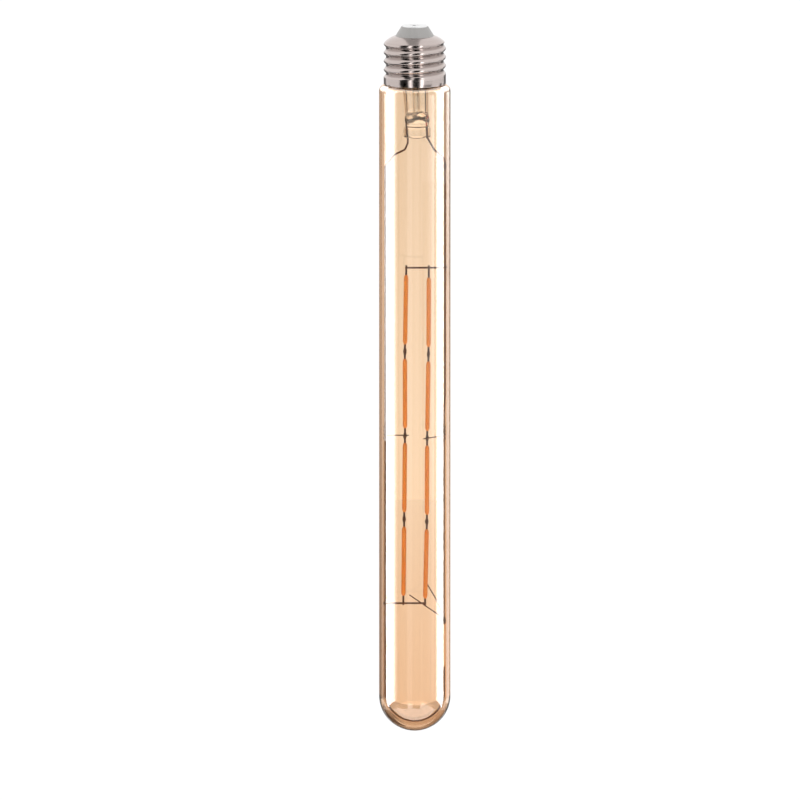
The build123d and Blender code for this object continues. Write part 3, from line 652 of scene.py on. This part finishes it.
class FILAMENT_BULB_OT_make_cap_shell(bpy.types.Operator):
    """Roll the screw shell: lip, cone, round thread and plain skirt"""

    bl_idname = "filament_bulb.make_cap_shell"
    bl_label = "Screw Shell"

    def side_rings(self, cap, inset, count):
        """Rings from the lip down to the rim, inset by the wall for the inside."""
        crest = SHELL_HIGH.x
        small = cap.thread_depth / 2
        ring_radius = crest - small - inset
        top_z, rim_z = SHELL_HIGH.z, SHELL_LOW.z
        base_z = top_z - cap.cone_height
        thread_top = base_z - cap.lead_in
        thread_low = thread_top - cap.thread_turns * cap.thread_pitch
        skirt_top = thread_low - cap.run_out
        rings = [circle(cap.cone_top_radius - cap.lip, top_z - inset, count)]

        # The cone's flank is an arc that bulges over the chord between its edges
        span = crest - small - cap.cone_top_radius
        chord = math.hypot(span, cap.cone_height)
        bow = chord**2 / (8 * cap.cone_bulge) + cap.cone_bulge / 2
        set_back = (bow - cap.cone_bulge) / chord
        bow_x = cap.cone_top_radius + span / 2 - set_back * cap.cone_height
        bow_z = top_z - cap.cone_height / 2 - set_back * span
        reach = bow - inset
        first = math.acos(math.sqrt(reach**2 - (top_z - inset - bow_z) ** 2) / reach)
        last = math.acos((ring_radius - bow_x) / reach)
        for share in (0.0, 0.04, 0.12, 0.25, 0.4, 0.55, 0.7, 0.85, 0.95):
            angle = between(first, last, share)
            x, z = bow_x + reach * math.cos(angle), bow_z + reach * math.sin(angle)
            rings.append(circle(x, z, count))

        # Each thread ring is the same circle, moved off the axis as the thread turns
        end_turn = 2 * math.pi * cap.thread_turns
        for share in (0.0, 0.25, 0.5, 0.75):
            off = small * eased(share)
            centre = (off * math.cos(end_turn), off * math.sin(end_turn))
            rings.append(circle(ring_radius, base_z - cap.lead_in * share, count, centre))
        rings_per_turn = 20
        for share in shares(int(cap.thread_turns * rings_per_turn), 0):
            turn = end_turn * (1 - share)
            centre = (small * math.cos(turn), small * math.sin(turn))
            rings.append(circle(ring_radius, between(thread_top, thread_low, share), count, centre))
        for share in (0.25, 0.5, 0.75, 1.0):
            off = small * (1 - eased(share))
            z = thread_low - cap.run_out * share
            rings.append(circle(crest - inset - off, z, count, (off, 0.0)))

        for z in (skirt_top - 0.2 * MM, (skirt_top + rim_z) / 2, rim_z + 0.15 * MM):
            rings.append(circle(crest - inset, z, count))
        rim_radius = crest - inset if inset else crest - 0.05 * MM
        rings.append(circle(rim_radius, rim_z, count))
        return rings

    def execute(self, context):
        cap = context.scene.bulb_cap
        count = context.scene.bulb_studio.segments
        outer = self.side_rings(cap, 0.0, count)
        inner = self.side_rings(cap, cap.wall, count)
        piece = skin("screw_shell", outer + list(reversed(inner)), 60, loop=True)
        material = grained(
            "Plated shell",
            cap.metal,
            darker(cap.metal, 0.10),
            metallic=1.0,
            roughness=0.17,
            scale=60.0,
            stretch=(1, 1, 60),
            bump=0.12,
            depth=0.02 * MM,
        )
        # Painted shade: the thread darkens towards its roots, while the cone above the thread stays
        # plain
        root = SHELL_HIGH.x - cap.thread_depth
        thread_top = SHELL_HIGH.z - cap.cone_height
        limits = (
            ("By Radius", root + 0.05 * MM, root + 0.6 * MM),
            ("By Height", thread_top - 0.3 * MM, thread_top + 0.3 * MM),
        )
        shaded(material, cap.painted_groove_shade, 0.2 * MM, *limits)
        dress(piece, material, "nickel_shell", "cap_shell")
        return {"FINISHED"}


class FILAMENT_BULB_OT_make_insulator(bpy.types.Operator):
    """Mould the grey insulator and seat the contact with its solder"""

    bl_idname = "filament_bulb.make_insulator"
    bl_label = "Insulator and Contact"

    def execute(self, context):
        cap = context.scene.bulb_cap
        count = context.scene.bulb_studio.segments
        bore = 1.3 * MM
        low_z, top_z = INSULATOR_LOW.z, INSULATOR_HIGH.z
        seat_z = SHELL_HIGH.z
        top_radius, seat_radius = 5.65 * MM, cap.cone_top_radius
        foot = seat_radius - cap.lip
        ridges, ridge_height = 8, 0.035 * MM
        profile = [(bore, low_z), (bore, top_z), (top_radius - 0.25 * MM, top_z)]
        profile += [(top_radius - 0.06 * MM, top_z - 0.05 * MM), (top_radius, top_z - 0.2 * MM)]
        for share in shares(56, 2)[:-1]:
            wave = ridge_height * (0.5 + 0.5 * math.cos(2 * math.pi * ridges * share))
            radius = between(top_radius, seat_radius, share)
            profile.append((radius - wave, between(top_z, seat_z, share)))
        profile += [(seat_radius, seat_z), (foot, seat_z), (foot, low_z)]
        piece = skin("insulator_cone", turned_rings(profile, count), 35, loop=True)
        material = grained(
            "Moulded insulator",
            cap.insulator,
            darker(cap.insulator, 0.08),
            roughness=0.36,
            spread=0.08,
            scale=500.0,
            stretch=(1, 1, 8),
            bump=0.25,
            depth=0.03 * MM,
        )
        dress(piece, material, "insulator", "cap_insulator")

        edge, disc_z = CONTACT_HIGH.x, CONTACT_HIGH.z
        fillet, eyelet = 0.25 * MM, 0.9 * MM
        profile = [(eyelet, CONTACT_LOW.z), (eyelet, disc_z)]
        profile += [(edge - 1.2 * MM, disc_z), (edge - 0.6 * MM, disc_z - 0.02 * MM)]
        profile += arc((edge - fillet, disc_z - 0.27 * MM), fillet, 90, 0, 6)
        profile += [(edge, top_z), (bore, top_z), (bore, CONTACT_LOW.z)]
        piece = skin("contact_disc", turned_rings(profile, count), 35, loop=True)
        material = grained(
            "Tinned contact",
            cap.contact,
            darker(cap.contact, 0.08),
            metallic=0.4,
            roughness=0.45,
            spread=0.16,
            scale=420.0,
            bump=0.2,
        )
        dress(piece, material, "contact_metal", "centre_contact")

        button, solder_z = SOLDER_HIGH.x, SOLDER_HIGH.z
        profile = [(0.0, solder_z), (button - 0.7 * MM, solder_z)]
        profile += arc((button - 0.32 * MM, solder_z - 0.3 * MM), 0.29 * MM, 90, 0, 6)
        profile += [(eyelet, disc_z), (eyelet, SOLDER_LOW.z), (0.0, SOLDER_LOW.z)]
        rings = turned_rings(profile, 96)
        lump_height = 0.06 * MM
        # The first ring is the centre, and those after the dome's lie in the eyelet
        for ring in rings[1:9]:
            for point in ring:
                lump = abs(noise.noise(point * LUMPS_PER_METRE))
                point -= outward(point) * lump * lump_height
        piece = skin("solder_button", rings)
        material = grained(
            "Solder",
            cap.solder,
            darker(cap.solder, 0.15),
            metallic=1.0,
            roughness=0.28,
            spread=0.2,
            scale=700.0,
            bump=0.4,
        )
        dress(piece, material, "solder", "contact_solder")
        return {"FINISHED"}


class FILAMENT_BULB_OT_make_stem(bpy.types.Operator):
    """Press the clear stem: flare, leaning tube, pinch, foot and exhaust tube"""

    bl_idname = "filament_bulb.make_stem"
    bl_label = "Stem"

    def section(self, z, centre_x, half_x, half_y, power=2, wave=0.0):
        """One ring: an ellipse at power 2, a rounded box at higher powers."""
        ring = []
        for c, s in arc((0, 0), 1, 0, 360, STEM_STEPS)[:-1]:
            x = half_x * math.copysign(abs(c) ** (2 / power), c)
            y = half_y * math.copysign(abs(s) ** (2 / power), s)
            lift = wave * math.sin(2 * math.pi * x / SEAM_WAVE_LENGTH + SEAM_PHASE)
            ring.append(Vector((centre_x + x, y, z + lift)))
        return ring

    def execute(self, context):
        stem = context.scene.bulb_stem
        glass = context.scene.bulb_glass
        seal_z, end_z = GLASS_HIGH.z, STEM_LOW.z
        neck = glass.neck_radius
        flare = neck - glass.wall - stem.radius
        bend = stem.radius + flare
        flare_end = seal_z - flare
        pinch_height, draw_in, hollow_drop, hollow_rise = 2.4 * MM, 3.6 * MM, 3.2 * MM, 1.2 * MM
        foot_top = end_z + stem.foot_height
        pinch_top = foot_top + pinch_height
        lower_z = pinch_top + draw_in
        hollow_z = lower_z - hollow_drop
        round_z = lower_z + hollow_rise
        lean_above_pinch = 0.8
        mid_x = lean_above_pinch * stem.lean

        # The inside, from its flat hollow end up to the flare
        hollow_x, hollow_y = 3.9 * MM, 0.75 * MM
        rings = [[Vector((mid_x, 0, hollow_z - 0.1 * MM))]]
        for share in (0.3, 0.65, 0.9, 1.0):
            z = hollow_z + 0.3 * MM * share**3
            wave = stem.seam_wave * share
            rings.append(self.section(z, mid_x, hollow_x * share, hollow_y * share, wave=wave))
        inner_low = stem.lower_radius - stem.wall
        inner_top = stem.radius - stem.wall
        for share in shares(12):
            ease = eased(share)
            half_x, half_y = between(hollow_x, inner_low, ease), between(hollow_y, inner_low, ease)
            wave = stem.seam_wave * (1 - ease)
            z = between(hollow_z, round_z, share)
            rings.append(self.section(z, mid_x, half_x, half_y, wave=wave))
        for share in shares(8):
            half = between(inner_low, inner_top, share)
            z = between(round_z, flare_end, share)
            rings.append(self.section(z, mid_x * (1 - share), half, half))

        # Over the flare and down the outside to the foot's flat end
        profile = arc((bend, flare_end), flare + stem.wall, 180, 90, 12)[1:]
        profile += [(neck, STEM_HIGH.z), (neck, seal_z)]
        profile += arc((bend, flare_end), flare, 90, 180, 12)
        rings += turned_rings(profile, STEM_STEPS)
        for share in shares(8):
            half = between(stem.radius, stem.lower_radius, share)
            z = between(flare_end, lower_z, share)
            rings.append(self.section(z, mid_x * share, half, half))
        pinch_x, pinch_y = stem.pinch_width / 2, stem.pinch_depth / 2
        boxy, foot_boxy = 3.6, 3.4
        for share in shares(10):
            ease = eased(share)
            half_x = between(stem.lower_radius, pinch_x, ease)
            half_y = between(stem.lower_radius, pinch_y, ease)
            z = between(lower_z, pinch_top, share)
            centre_x = between(mid_x, stem.lean, ease)
            rings.append(self.section(z, centre_x, half_x, half_y, between(2, boxy, ease)))
        waist = 0.25 * MM
        for share in shares(6)[:-1]:
            pull = waist * math.sin(math.pi * share)
            z = between(pinch_top, foot_top, share)
            rings.append(self.section(z, stem.lean, pinch_x - pull, pinch_y - pull, boxy))
        foot_x, foot_y = stem.foot_width / 2, stem.foot_depth / 2
        edge = 1.0 * MM
        corners = arc((-edge, foot_top - edge), edge, 90, 0, 6)
        corners += arc((-edge, end_z + edge), edge, 0, -90, 6)
        for x, z in corners:
            rings.append(self.section(z, stem.lean, foot_x + x, foot_y + x, foot_boxy))
        rings.append([Vector((stem.lean, 0, end_z))])
        # Painted shade along the pressed seam above the hollow end and along the foot's top and
        # bottom edges
        outline_phase = -1.86
        seams = (
            (hollow_z + 0.35 * MM, stem.seam, stem.seam_wave, SEAM_WAVE_LENGTH, SEAM_PHASE),
            (foot_top + 0.2 * MM, stem.outline, 0.35 * MM, 22 * MM, outline_phase),
            (end_z + edge, stem.outline * 0.8, 0.7 * MM, 20 * MM, outline_phase),
        )
        material = clear_glass_material(stem, seams)
        piece = skin("pressed_stem", rings, 70)
        dress(piece, material, "clear_glass", "glass_stem")
        self.make_exhaust(mid_x, material)
        return {"FINISHED"}

    def make_exhaust(self, mid_x, material):
        """The closed tube that leans from the stem's hollow end to the axis."""
        low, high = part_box("exhaust_tube")
        start = Vector((mid_x, 0, low.z + 0.03 * MM))
        axis = Vector((0, 0, high.z)) - start
        reach = axis.length
        outer, bore = 1.55 * MM, 0.95 * MM
        profile = [(0.0, reach - 3.1 * MM), (bore * 0.8, reach - 3.3 * MM)]
        profile += [(bore, reach - 3.9 * MM), (bore, 0.0), (outer, 0.0), (outer, reach - 1.5 * MM)]
        profile += [(outer * 0.94, reach - 0.9 * MM), (outer * 0.7, reach - 0.3 * MM), (0.0, reach)]
        rings = turned_rings(profile, 64)
        set_along(rings, start, axis)
        piece = skin("exhaust_glass", rings, 70)
        dress(piece, material, "clear_glass", "exhaust_tube")


class FILAMENT_BULB_OT_make_filaments(bpy.types.Operator):
    """Coat the eight filaments and finish their strips"""

    bl_idname = "filament_bulb.make_filaments"
    bl_label = "Filaments"

    def ends_of(self, name):
        """Middle points of the low and the high end of a node."""
        points = [vertex.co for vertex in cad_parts[name].data.vertices]
        low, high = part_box(name)
        ends = []
        for level in (low.z, high.z):
            near = [point for point in points if abs(point.z - level) < 0.3 * MM]
            ends.append(sum(near, Vector()) / len(near))
        ends[0].z, ends[1].z = low.z, high.z
        return ends

    def make_joint(self, name, upper, low_end, high_end, material):
        """The lumpy weld where the pins of two filaments meet."""
        lower = high_end if high_end.z > low_end.z else low_end
        middle = (upper + lower) / 2
        half = min(2.0 * MM, (upper.z - lower.z) / 2)
        pin, swell, unevenness = 0.30 * MM, 0.42 * MM, 0.3
        rings = [[middle - Vector((0, 0, half))]]
        for share in (-0.9, -0.7, -0.45, -0.2, 0.0, 0.2, 0.45, 0.7, 0.9):
            radius = pin + swell * math.cos(math.pi / 2 * share) ** 1.5
            ring = circle(radius, middle.z + share * half, 24, (middle.x, middle.y))
            for point in ring:
                out = Vector((point.x - middle.x, point.y - middle.y, 0))
                point += out * unevenness * noise.noise(point * LUMPS_PER_METRE)
            rings.append(ring)
        rings.append([middle + Vector((0, 0, half))])
        dress(skin(name, rings, 70), material, "frame_wire")

    def coat_rings(self, reach, seed):
        """A slightly lumpy round coat along Z, drawn in at both ends."""
        radius, taper, lump_height = 0.95 * MM, 1.5 * MM, 0.02 * MM
        profile = [(0.0, 0.0), (0.42 * MM, 0.02 * MM), (0.58 * MM, 0.14 * MM)]
        profile += [(0.74 * MM, 0.5 * MM), (0.88 * MM, 0.95 * MM), (radius, taper)]
        end = [(r, reach - z) for r, z in reversed(profile)]
        for share in shares(40)[:-1]:
            profile.append((radius, between(taper, reach - taper, share)))
        rings = turned_rings(profile + end, 32)
        for ring in rings[1:-1]:
            for point in ring:
                out = outward(point)
                lump = noise.noise(Vector((out.x * 0.8, out.y * 0.8, point.z * 350 + seed)))
                point -= out * lump_height * (1 + lump)
        return rings

    def execute(self, context):
        wires = context.scene.bulb_frame
        coat_material = grained(
            "Phosphor silicone",
            wires.coat,
            wires.coat_pale,
            roughness=0.42,
            spread=0.12,
            scale=260.0,
            stretch=(1, 1, 0.6),
            bump=0.3,
            depth=0.06 * MM,
            subsurface=0.2,
        )
        strip_material = dull_metal("Plated strip", wires.strip, darker(wires.strip, 0.3), bump=0.2)
        for side in ("left", "right"):
            last_end = None
            for index in range(1, 5):
                name = f"filament_coat_{side}_{index}"
                start, end = self.ends_of(name)
                rings = self.coat_rings((end - start).length, index * 7)
                set_along(rings, start, end - start)
                piece = skin(f"phosphor_coat_{side}_{index}", rings, 70)
                dress(piece, coat_material, "phosphor", name)
                dress_node(f"filament_strip_{side}_{index}", strip_material)
                if last_end:
                    self.make_joint(f"joint_{side}_{index}", last_end, start, end, strip_material)
                last_end = start if start.z < end.z else end
        return {"FINISHED"}


class FILAMENT_BULB_OT_finish_wires(bpy.types.Operator):
    """Finish the support wires, leads, ties and weld beads"""

    bl_idname = "filament_bulb.finish_wires"
    bl_label = "Wires"

    def execute(self, context):
        wires = context.scene.bulb_frame
        wire = dull_metal(
            "Drawn wire",
            wires.wire,
            darker(wires.wire, 0.35),
            spread=0.15,
            scale=700.0,
            stretch=(1, 1, 0.1),
            bump=0.25,
        )
        bead = dull_metal(
            "Weld metal",
            darker(wires.wire, 0.25),
            darker(wires.wire, 0.55),
            spread=0.2,
            scale=1500.0,
            bump=0.5,
            depth=0.08 * MM,
        )
        lead_dark = darker(wires.lead, 0.35)
        lead, clad_lead = [
            dull_metal(label, wires.lead, lead_dark, roughness=0.45, scale=600.0, bump=0.2)
            for label in ("Lead wire", "Copper clad lead")
        ]
        seal_z = STEM_LOW.z + 9.2 * MM
        shaded(clad_lead, wires.seal_wire, 1.5 * MM, ("By Height", seal_z, seal_z + 1.2 * MM))
        welds = ("weld_right_lead", "weld_top_bar", "weld_bottom_bar", "weld_steady_wires")
        frame_wires = ("long_support_wire", "short_support_wire", "right_lead_wire")
        frame_wires += ("top_crossbar", "bottom_crossbar", "tie_left", "tie_right")
        frame_wires += ("steady_wire_long", "steady_wire_short")
        for material, names in (
            (wire, frame_wires),
            (bead, welds),
            (lead, ("stem_lead_left", "contact_lead", "shell_lead")),
            (clad_lead, ("stem_lead_right",)),
        ):
            for name in names:
                dress_node(name, material)
        return {"FINISHED"}


class FILAMENT_BULB_OT_finish_driver(bpy.types.Operator):
    """Finish the driver and the cement inside the cap"""

    bl_idname = "filament_bulb.finish_driver"
    bl_label = "Driver"

    def execute(self, context):
        # Node, material, colour, metallic, roughness and grains to a metre
        finishes = (
            ("capping_cement", "Cement", (0.63, 0.57, 0.45), 0.0, 0.9, 1200.0),
            ("driver_board", "Board", (0.035, 0.15, 0.055), 0.0, 0.4, 900.0),
            ("smoothing_capacitor", "Sleeved can", (0.02, 0.024, 0.035), 0.0, 0.3, 600.0),
            ("choke_core", "Ferrite", (0.02, 0.02, 0.02), 0.1, 0.6, 1500.0),
            ("choke_winding", "Enamelled copper", (0.34, 0.08, 0.02), 0.9, 0.3, 800.0),
            ("bridge_rectifier", "Black mould", (0.006, 0.006, 0.007), 0.0, 0.45, 1400.0),
            ("driver_chip", "Black chip mould", (0.007, 0.007, 0.008), 0.0, 0.5, 1400.0),
            ("fusible_resistor", "Lacquered resistor", (0.17, 0.32, 0.34), 0.0, 0.35, 900.0),
        )
        for name, label, shade, metallic, roughness, scale in finishes:
            looks = (darker(shade, 0.3), metallic, roughness)
            dress_node(name, grained(label, shade, *looks, scale=scale, bump=0.3))
        return {"FINISHED"}


class FILAMENT_BULB_OT_set_stage(bpy.types.Operator):
    """Set the pale floor, the soft lights and the camera"""

    bl_idname = "filament_bulb.set_stage"
    bl_label = "Studio"

    def panel(
        self, name, first, last, low, high, distance, strength, piece="", fades=(0, 0), tint=None
    ):
        """An upright curved panel round the bulb, angles from the front to the right.

        Reflections and glass see it, the camera doesn't. The low edge and the
        strength may each be a pair, from the first to the last angle and from the
        low to the high edge. With a piece named, the panel shines on that piece
        alone, is clear to all others, and fades over the given shares of its width.
        """
        columns = 24
        lows = low if isinstance(low, tuple) else (low, low)
        strengths = strength if isinstance(strength, tuple) else (strength, strength)
        points, glow = [], []
        for row in range(2):
            for share in shares(columns, 0):
                angle = math.radians(between(first, last, share))
                z = high if row else between(*lows, share)
                points.append((distance * math.sin(angle), -distance * math.cos(angle), z))
                rise = min(1.0, share / fades[0]) if fades[0] else 1.0
                fall = min(1.0, (1 - share) / fades[1]) if fades[1] else 1.0
                glow.append(strengths[row] * (rise * fall) ** 2)
        above = columns + 1
        faces = [(i, i + 1, i + above + 1, i + above) for i in range(columns)]
        return self.light_mesh(name, points, faces, glow, piece, tint)

    def light_mesh(self, name, points, faces, glow, piece="", tint=None):
        """A mesh that shines by its own glow, on one piece alone if it is named."""
        mesh = bpy.data.meshes.new(name)
        mesh.from_pydata(points, [], faces)
        mesh.attributes.new("glow", "FLOAT", "POINT").data.foreach_set("value", glow)
        made = add_object(name, mesh)
        material, tree, output = empty_material(name)
        level = node(tree, "ShaderNodeAttribute", (-200, 0), attribute_name="glow").outputs["Fac"]
        shine = node(tree, "ShaderNodeEmission", (0, 0), tint or (1, 1, 1), level).outputs[0]
        if piece:
            clear = node(tree, "ShaderNodeBsdfTransparent", (0, -150)).outputs[0]
            shine = node(tree, "ShaderNodeAddShader", (250, 0), shine, clear).outputs[0]
            lit = bpy.data.collections.new(f"lit by {name}")
            lit.objects.link(bpy.data.objects[piece])
            made.light_linking.receiver_collection = lit
        feed(tree, output.inputs["Surface"], shine)
        material.cycles.emission_sampling = "NONE"
        mesh.materials.append(material)
        made.visible_camera = False
        made.visible_diffuse = False
        made.visible_volume_scatter = False
        made.visible_shadow = False
        return made

    def level_card(self, name, corner, opposite, z, strength, piece=""):
        """A level rectangle that reflections see."""
        (x, y), (far_x, far_y) = corner, opposite
        points = [(x, y, z), (far_x, y, z), (far_x, far_y, z), (x, far_y, z)]
        return self.light_mesh(name, points, [(0, 1, 2, 3)], [strength] * 4, piece)

    def lay_floor(self, studio, floor_z):
        """A wide pale floor under the bulb."""
        rings = [[Vector((0, 0, floor_z))]]
        for radius in (0.5, 1.5, 4.0, studio.floor_radius):
            rings.append(circle(radius, floor_z, 64))
        floor = skin("floor", rings)
        looks = {"Base_Color": (0.92, 0.92, 0.92), "Roughness": 0.9, "Specular_IOR_Level": 0.1}
        floor.data.materials.append(blank_material("Pale floor", **looks)[0])

    def open_sky(self, scene, strength):
        """An even white light from all round."""
        world = bpy.data.worlds.new("Studio light")
        world.use_nodes = True
        sky = world.node_tree.nodes["Background"]
        sky.inputs["Color"].default_value = (1, 1, 1, 1)
        sky.inputs["Strength"].default_value = strength
        scene.world = world

    def hang_lights(self, studio, floor_z):
        """The cards that light the glass and cap, and the flags that shade them."""
        low, high = floor_z + 0.02, 0.75
        away, by_dome, under_dome, over_dome = 1.1, 0.4, -0.663, -0.452
        band = studio.band_light
        glass, shell = "bulb_glass", "screw_shell"
        # Name, first and last angle, low and high edge, distance, glow, piece lit, fades
        fronts = (
            ("side_light_left", -106, -57, (-0.74, -0.42), high, 0.9, band, glass, (0, 0.3)),
            ("side_light_right", 68, 106, (-0.42, -0.74), high, 0.9, band, glass, (0.25, 0)),
            ("glass_card_right", 30, 67, -0.5, -0.1, away, (1.0, 8.5), glass, (0.95, 0.05)),
            ("glass_flag_right", 24, 67, -0.6, -0.235, 1.15, 0.4),
            ("glass_fill", -57, 24, -0.4, -0.05, 0.44, (0.2, 1.7), glass, (0.8, 0.15)),
            ("edge_card_right", 121, 150, -0.6, -0.1, away, (1.7, 1.5), glass, (0.1, 0.1)),
            ("top_card_right", 121, 150, -0.27, -0.1, 1.08, (0.0, 4.0), glass, (0.1, 0.1)),
            ("wire_card_left", -118, -106, -0.35, -0.12, away, (3.0, 8.0), glass, (0.3, 0)),
            ("wire_flag_left", -121, -107, -0.6, -0.35, away, 0.15),
            ("wire_flag_right", 107, 121, -0.6, -0.23, away, 0.15),
            ("shoulder_card_left", -165, -106, -0.02, high, away, (0.0, 22.0), glass, (0.3, 0)),
            ("shoulder_card_right", 106, 165, -0.02, high, away, (0.0, 22.0), glass, (0, 0.3)),
            ("cap_card_left", -21, -11, low, high, away, 1.6, shell, (0.3, 0.3)),
            ("cap_card_right", 20, 34, low, high, away, 3.0, shell, (0.3, 0.3)),
            ("flag_left", -57, -24, -0.59, high, 0.45, 0.0),
            ("flag_centre", -8, 19, -0.59, high, 0.45, 0.0),
        )
        for settings in fronts:
            self.panel(*settings).visible_transmission = False
        self.level_card("flag_above", (-0.195, -0.15), (0.104, 1.0), 0.8, 0.45)
        corners = ((-0.4, -0.4), (0.4, 0.4))
        shoulder = self.level_card("shoulder_card_above", *corners, 0.35, 4.1, glass)
        shoulder.visible_transmission = False
        self.level_card("floor_card", (-0.77, -1.5), (0.77, -0.1), floor_z + 0.01, 3.6, glass)
        hidden = self.level_card("floor_flag", (-0.77, -0.1), (0.77, 0.9), floor_z + 0.012, 0.1)
        hidden.visible_transmission = False
        for side, turn in (("left", -1), ("right", 1)):
            glint = self.panel(f"glint_{side}", turn * 135, turn * 172, low, -0.03, 1.2, 0.2)
            glint.visible_transmission = False
            left = side == "left"
            rears = (
                ("near", 150, 171, -0.62, -0.03, away, (0.0, 1.35) if left else (1.2, 0.3)),
                ("top", 150, 171, -0.27, -0.1, 1.05, (0.8, 0.72) if left else (0.55, 0.1)),
                ("rim", 143, 150, -0.62, -0.03, away, 0.5 if left else 0.8),
                ("far", 122, 143, -0.62, 0.02, away, 0.55),
                ("mid", 138, 152, under_dome, over_dome, by_dome, 0.4 if left else 0.7),
                ("deep", 152, 170, under_dome, over_dome, by_dome, 0.1 if left else 0.5),
            )
            for name, first, last, *settings in rears:
                flag = self.panel(
                    f"rear_{name}_{side}",
                    turn * first,
                    turn * last,
                    *settings,
                    tint=studio.shade,
                )
                flag.visible_glossy = False
        for settings in (
            ("rear_below", 163, 197, low, -0.437, 0.6, 0.62),
            ("rear_deep", 170, 190, -0.59, over_dome, by_dome, 0.6),
            ("rear_top", 171, 189, -0.38, -0.1, away, (1.12, 0.78)),
        ):
            self.panel(*settings).visible_glossy = False

    def place_camera(self, scene, studio):
        """A long lens that looks down on the bulb a little."""
        camera_data = bpy.data.cameras.new("camera")
        camera = add_object("camera", camera_data)
        camera_data.lens = studio.lens
        camera_data.clip_end = 100.0
        aim = Vector((studio.aim_x, 0.0, studio.aim_z))
        back = Vector((0.0, -math.cos(studio.elevation), math.sin(studio.elevation)))
        camera.location = aim + back * studio.distance
        camera.rotation_euler = (-back).to_track_quat("-Z", "Y").to_euler()
        scene.camera = camera

    def execute(self, context):
        scene = context.scene
        studio = scene.bulb_studio
        floor_z = GLASS_LOW.z - studio.floor_drop
        scene.view_settings.view_transform = "Standard"
        self.lay_floor(studio, floor_z)
        self.open_sky(scene, studio.sky)
        self.hang_lights(studio, floor_z)
        self.place_camera(scene, studio)
        return {"FINISHED"}


OPERATORS = (
    FILAMENT_BULB_OT_make_glass,
    FILAMENT_BULB_OT_make_cap_shell,
    FILAMENT_BULB_OT_make_insulator,
    FILAMENT_BULB_OT_make_stem,
    FILAMENT_BULB_OT_make_filaments,
    FILAMENT_BULB_OT_finish_wires,
    FILAMENT_BULB_OT_finish_driver,
    FILAMENT_BULB_OT_set_stage,
)
SETTINGS = {
    "bulb_glass": BulbGlassSettings,
    "bulb_cap": BulbCapSettings,
    "bulb_stem": BulbStemSettings,
    "bulb_frame": BulbFrameSettings,
    "bulb_studio": BulbStudioSettings,
}


class FILAMENT_BULB_PT_panel(bpy.types.Panel):
    """Lists the pieces and their settings"""

    bl_idname = "FILAMENT_BULB_PT_panel"
    bl_label = "Filament Bulb"
    bl_space_type = "VIEW_3D"
    bl_region_type = "UI"
    bl_category = "Filament Bulb"

    def draw(self, context):
        for operator in OPERATORS:
            self.layout.operator(operator.bl_idname, text=operator.bl_label)
        for name, settings in SETTINGS.items():
            box = self.layout.box()
            box.label(text=settings.__doc__)
            for key in settings.__annotations__:
                box.prop(getattr(context.scene, name), key)


def register():
    for settings in SETTINGS.values():
        bpy.utils.register_class(settings)
    for name, settings in SETTINGS.items():
        setattr(bpy.types.Scene, name, PointerProperty(type=settings))
    for operator in OPERATORS:
        bpy.utils.register_class(operator)
    bpy.utils.register_class(FILAMENT_BULB_PT_panel)


def unregister():
    bpy.utils.unregister_class(FILAMENT_BULB_PT_panel)
    for operator in reversed(OPERATORS):
        bpy.utils.unregister_class(operator)
    for name, settings in SETTINGS.items():
        delattr(bpy.types.Scene, name)
        bpy.utils.unregister_class(settings)


def main():
    """Registers the add-on and makes every piece."""
    register()
    for operator in OPERATORS:
        group, name = operator.bl_idname.split(".")
        getattr(getattr(bpy.ops, group), name)()


if __name__ == "__main__":
    main()
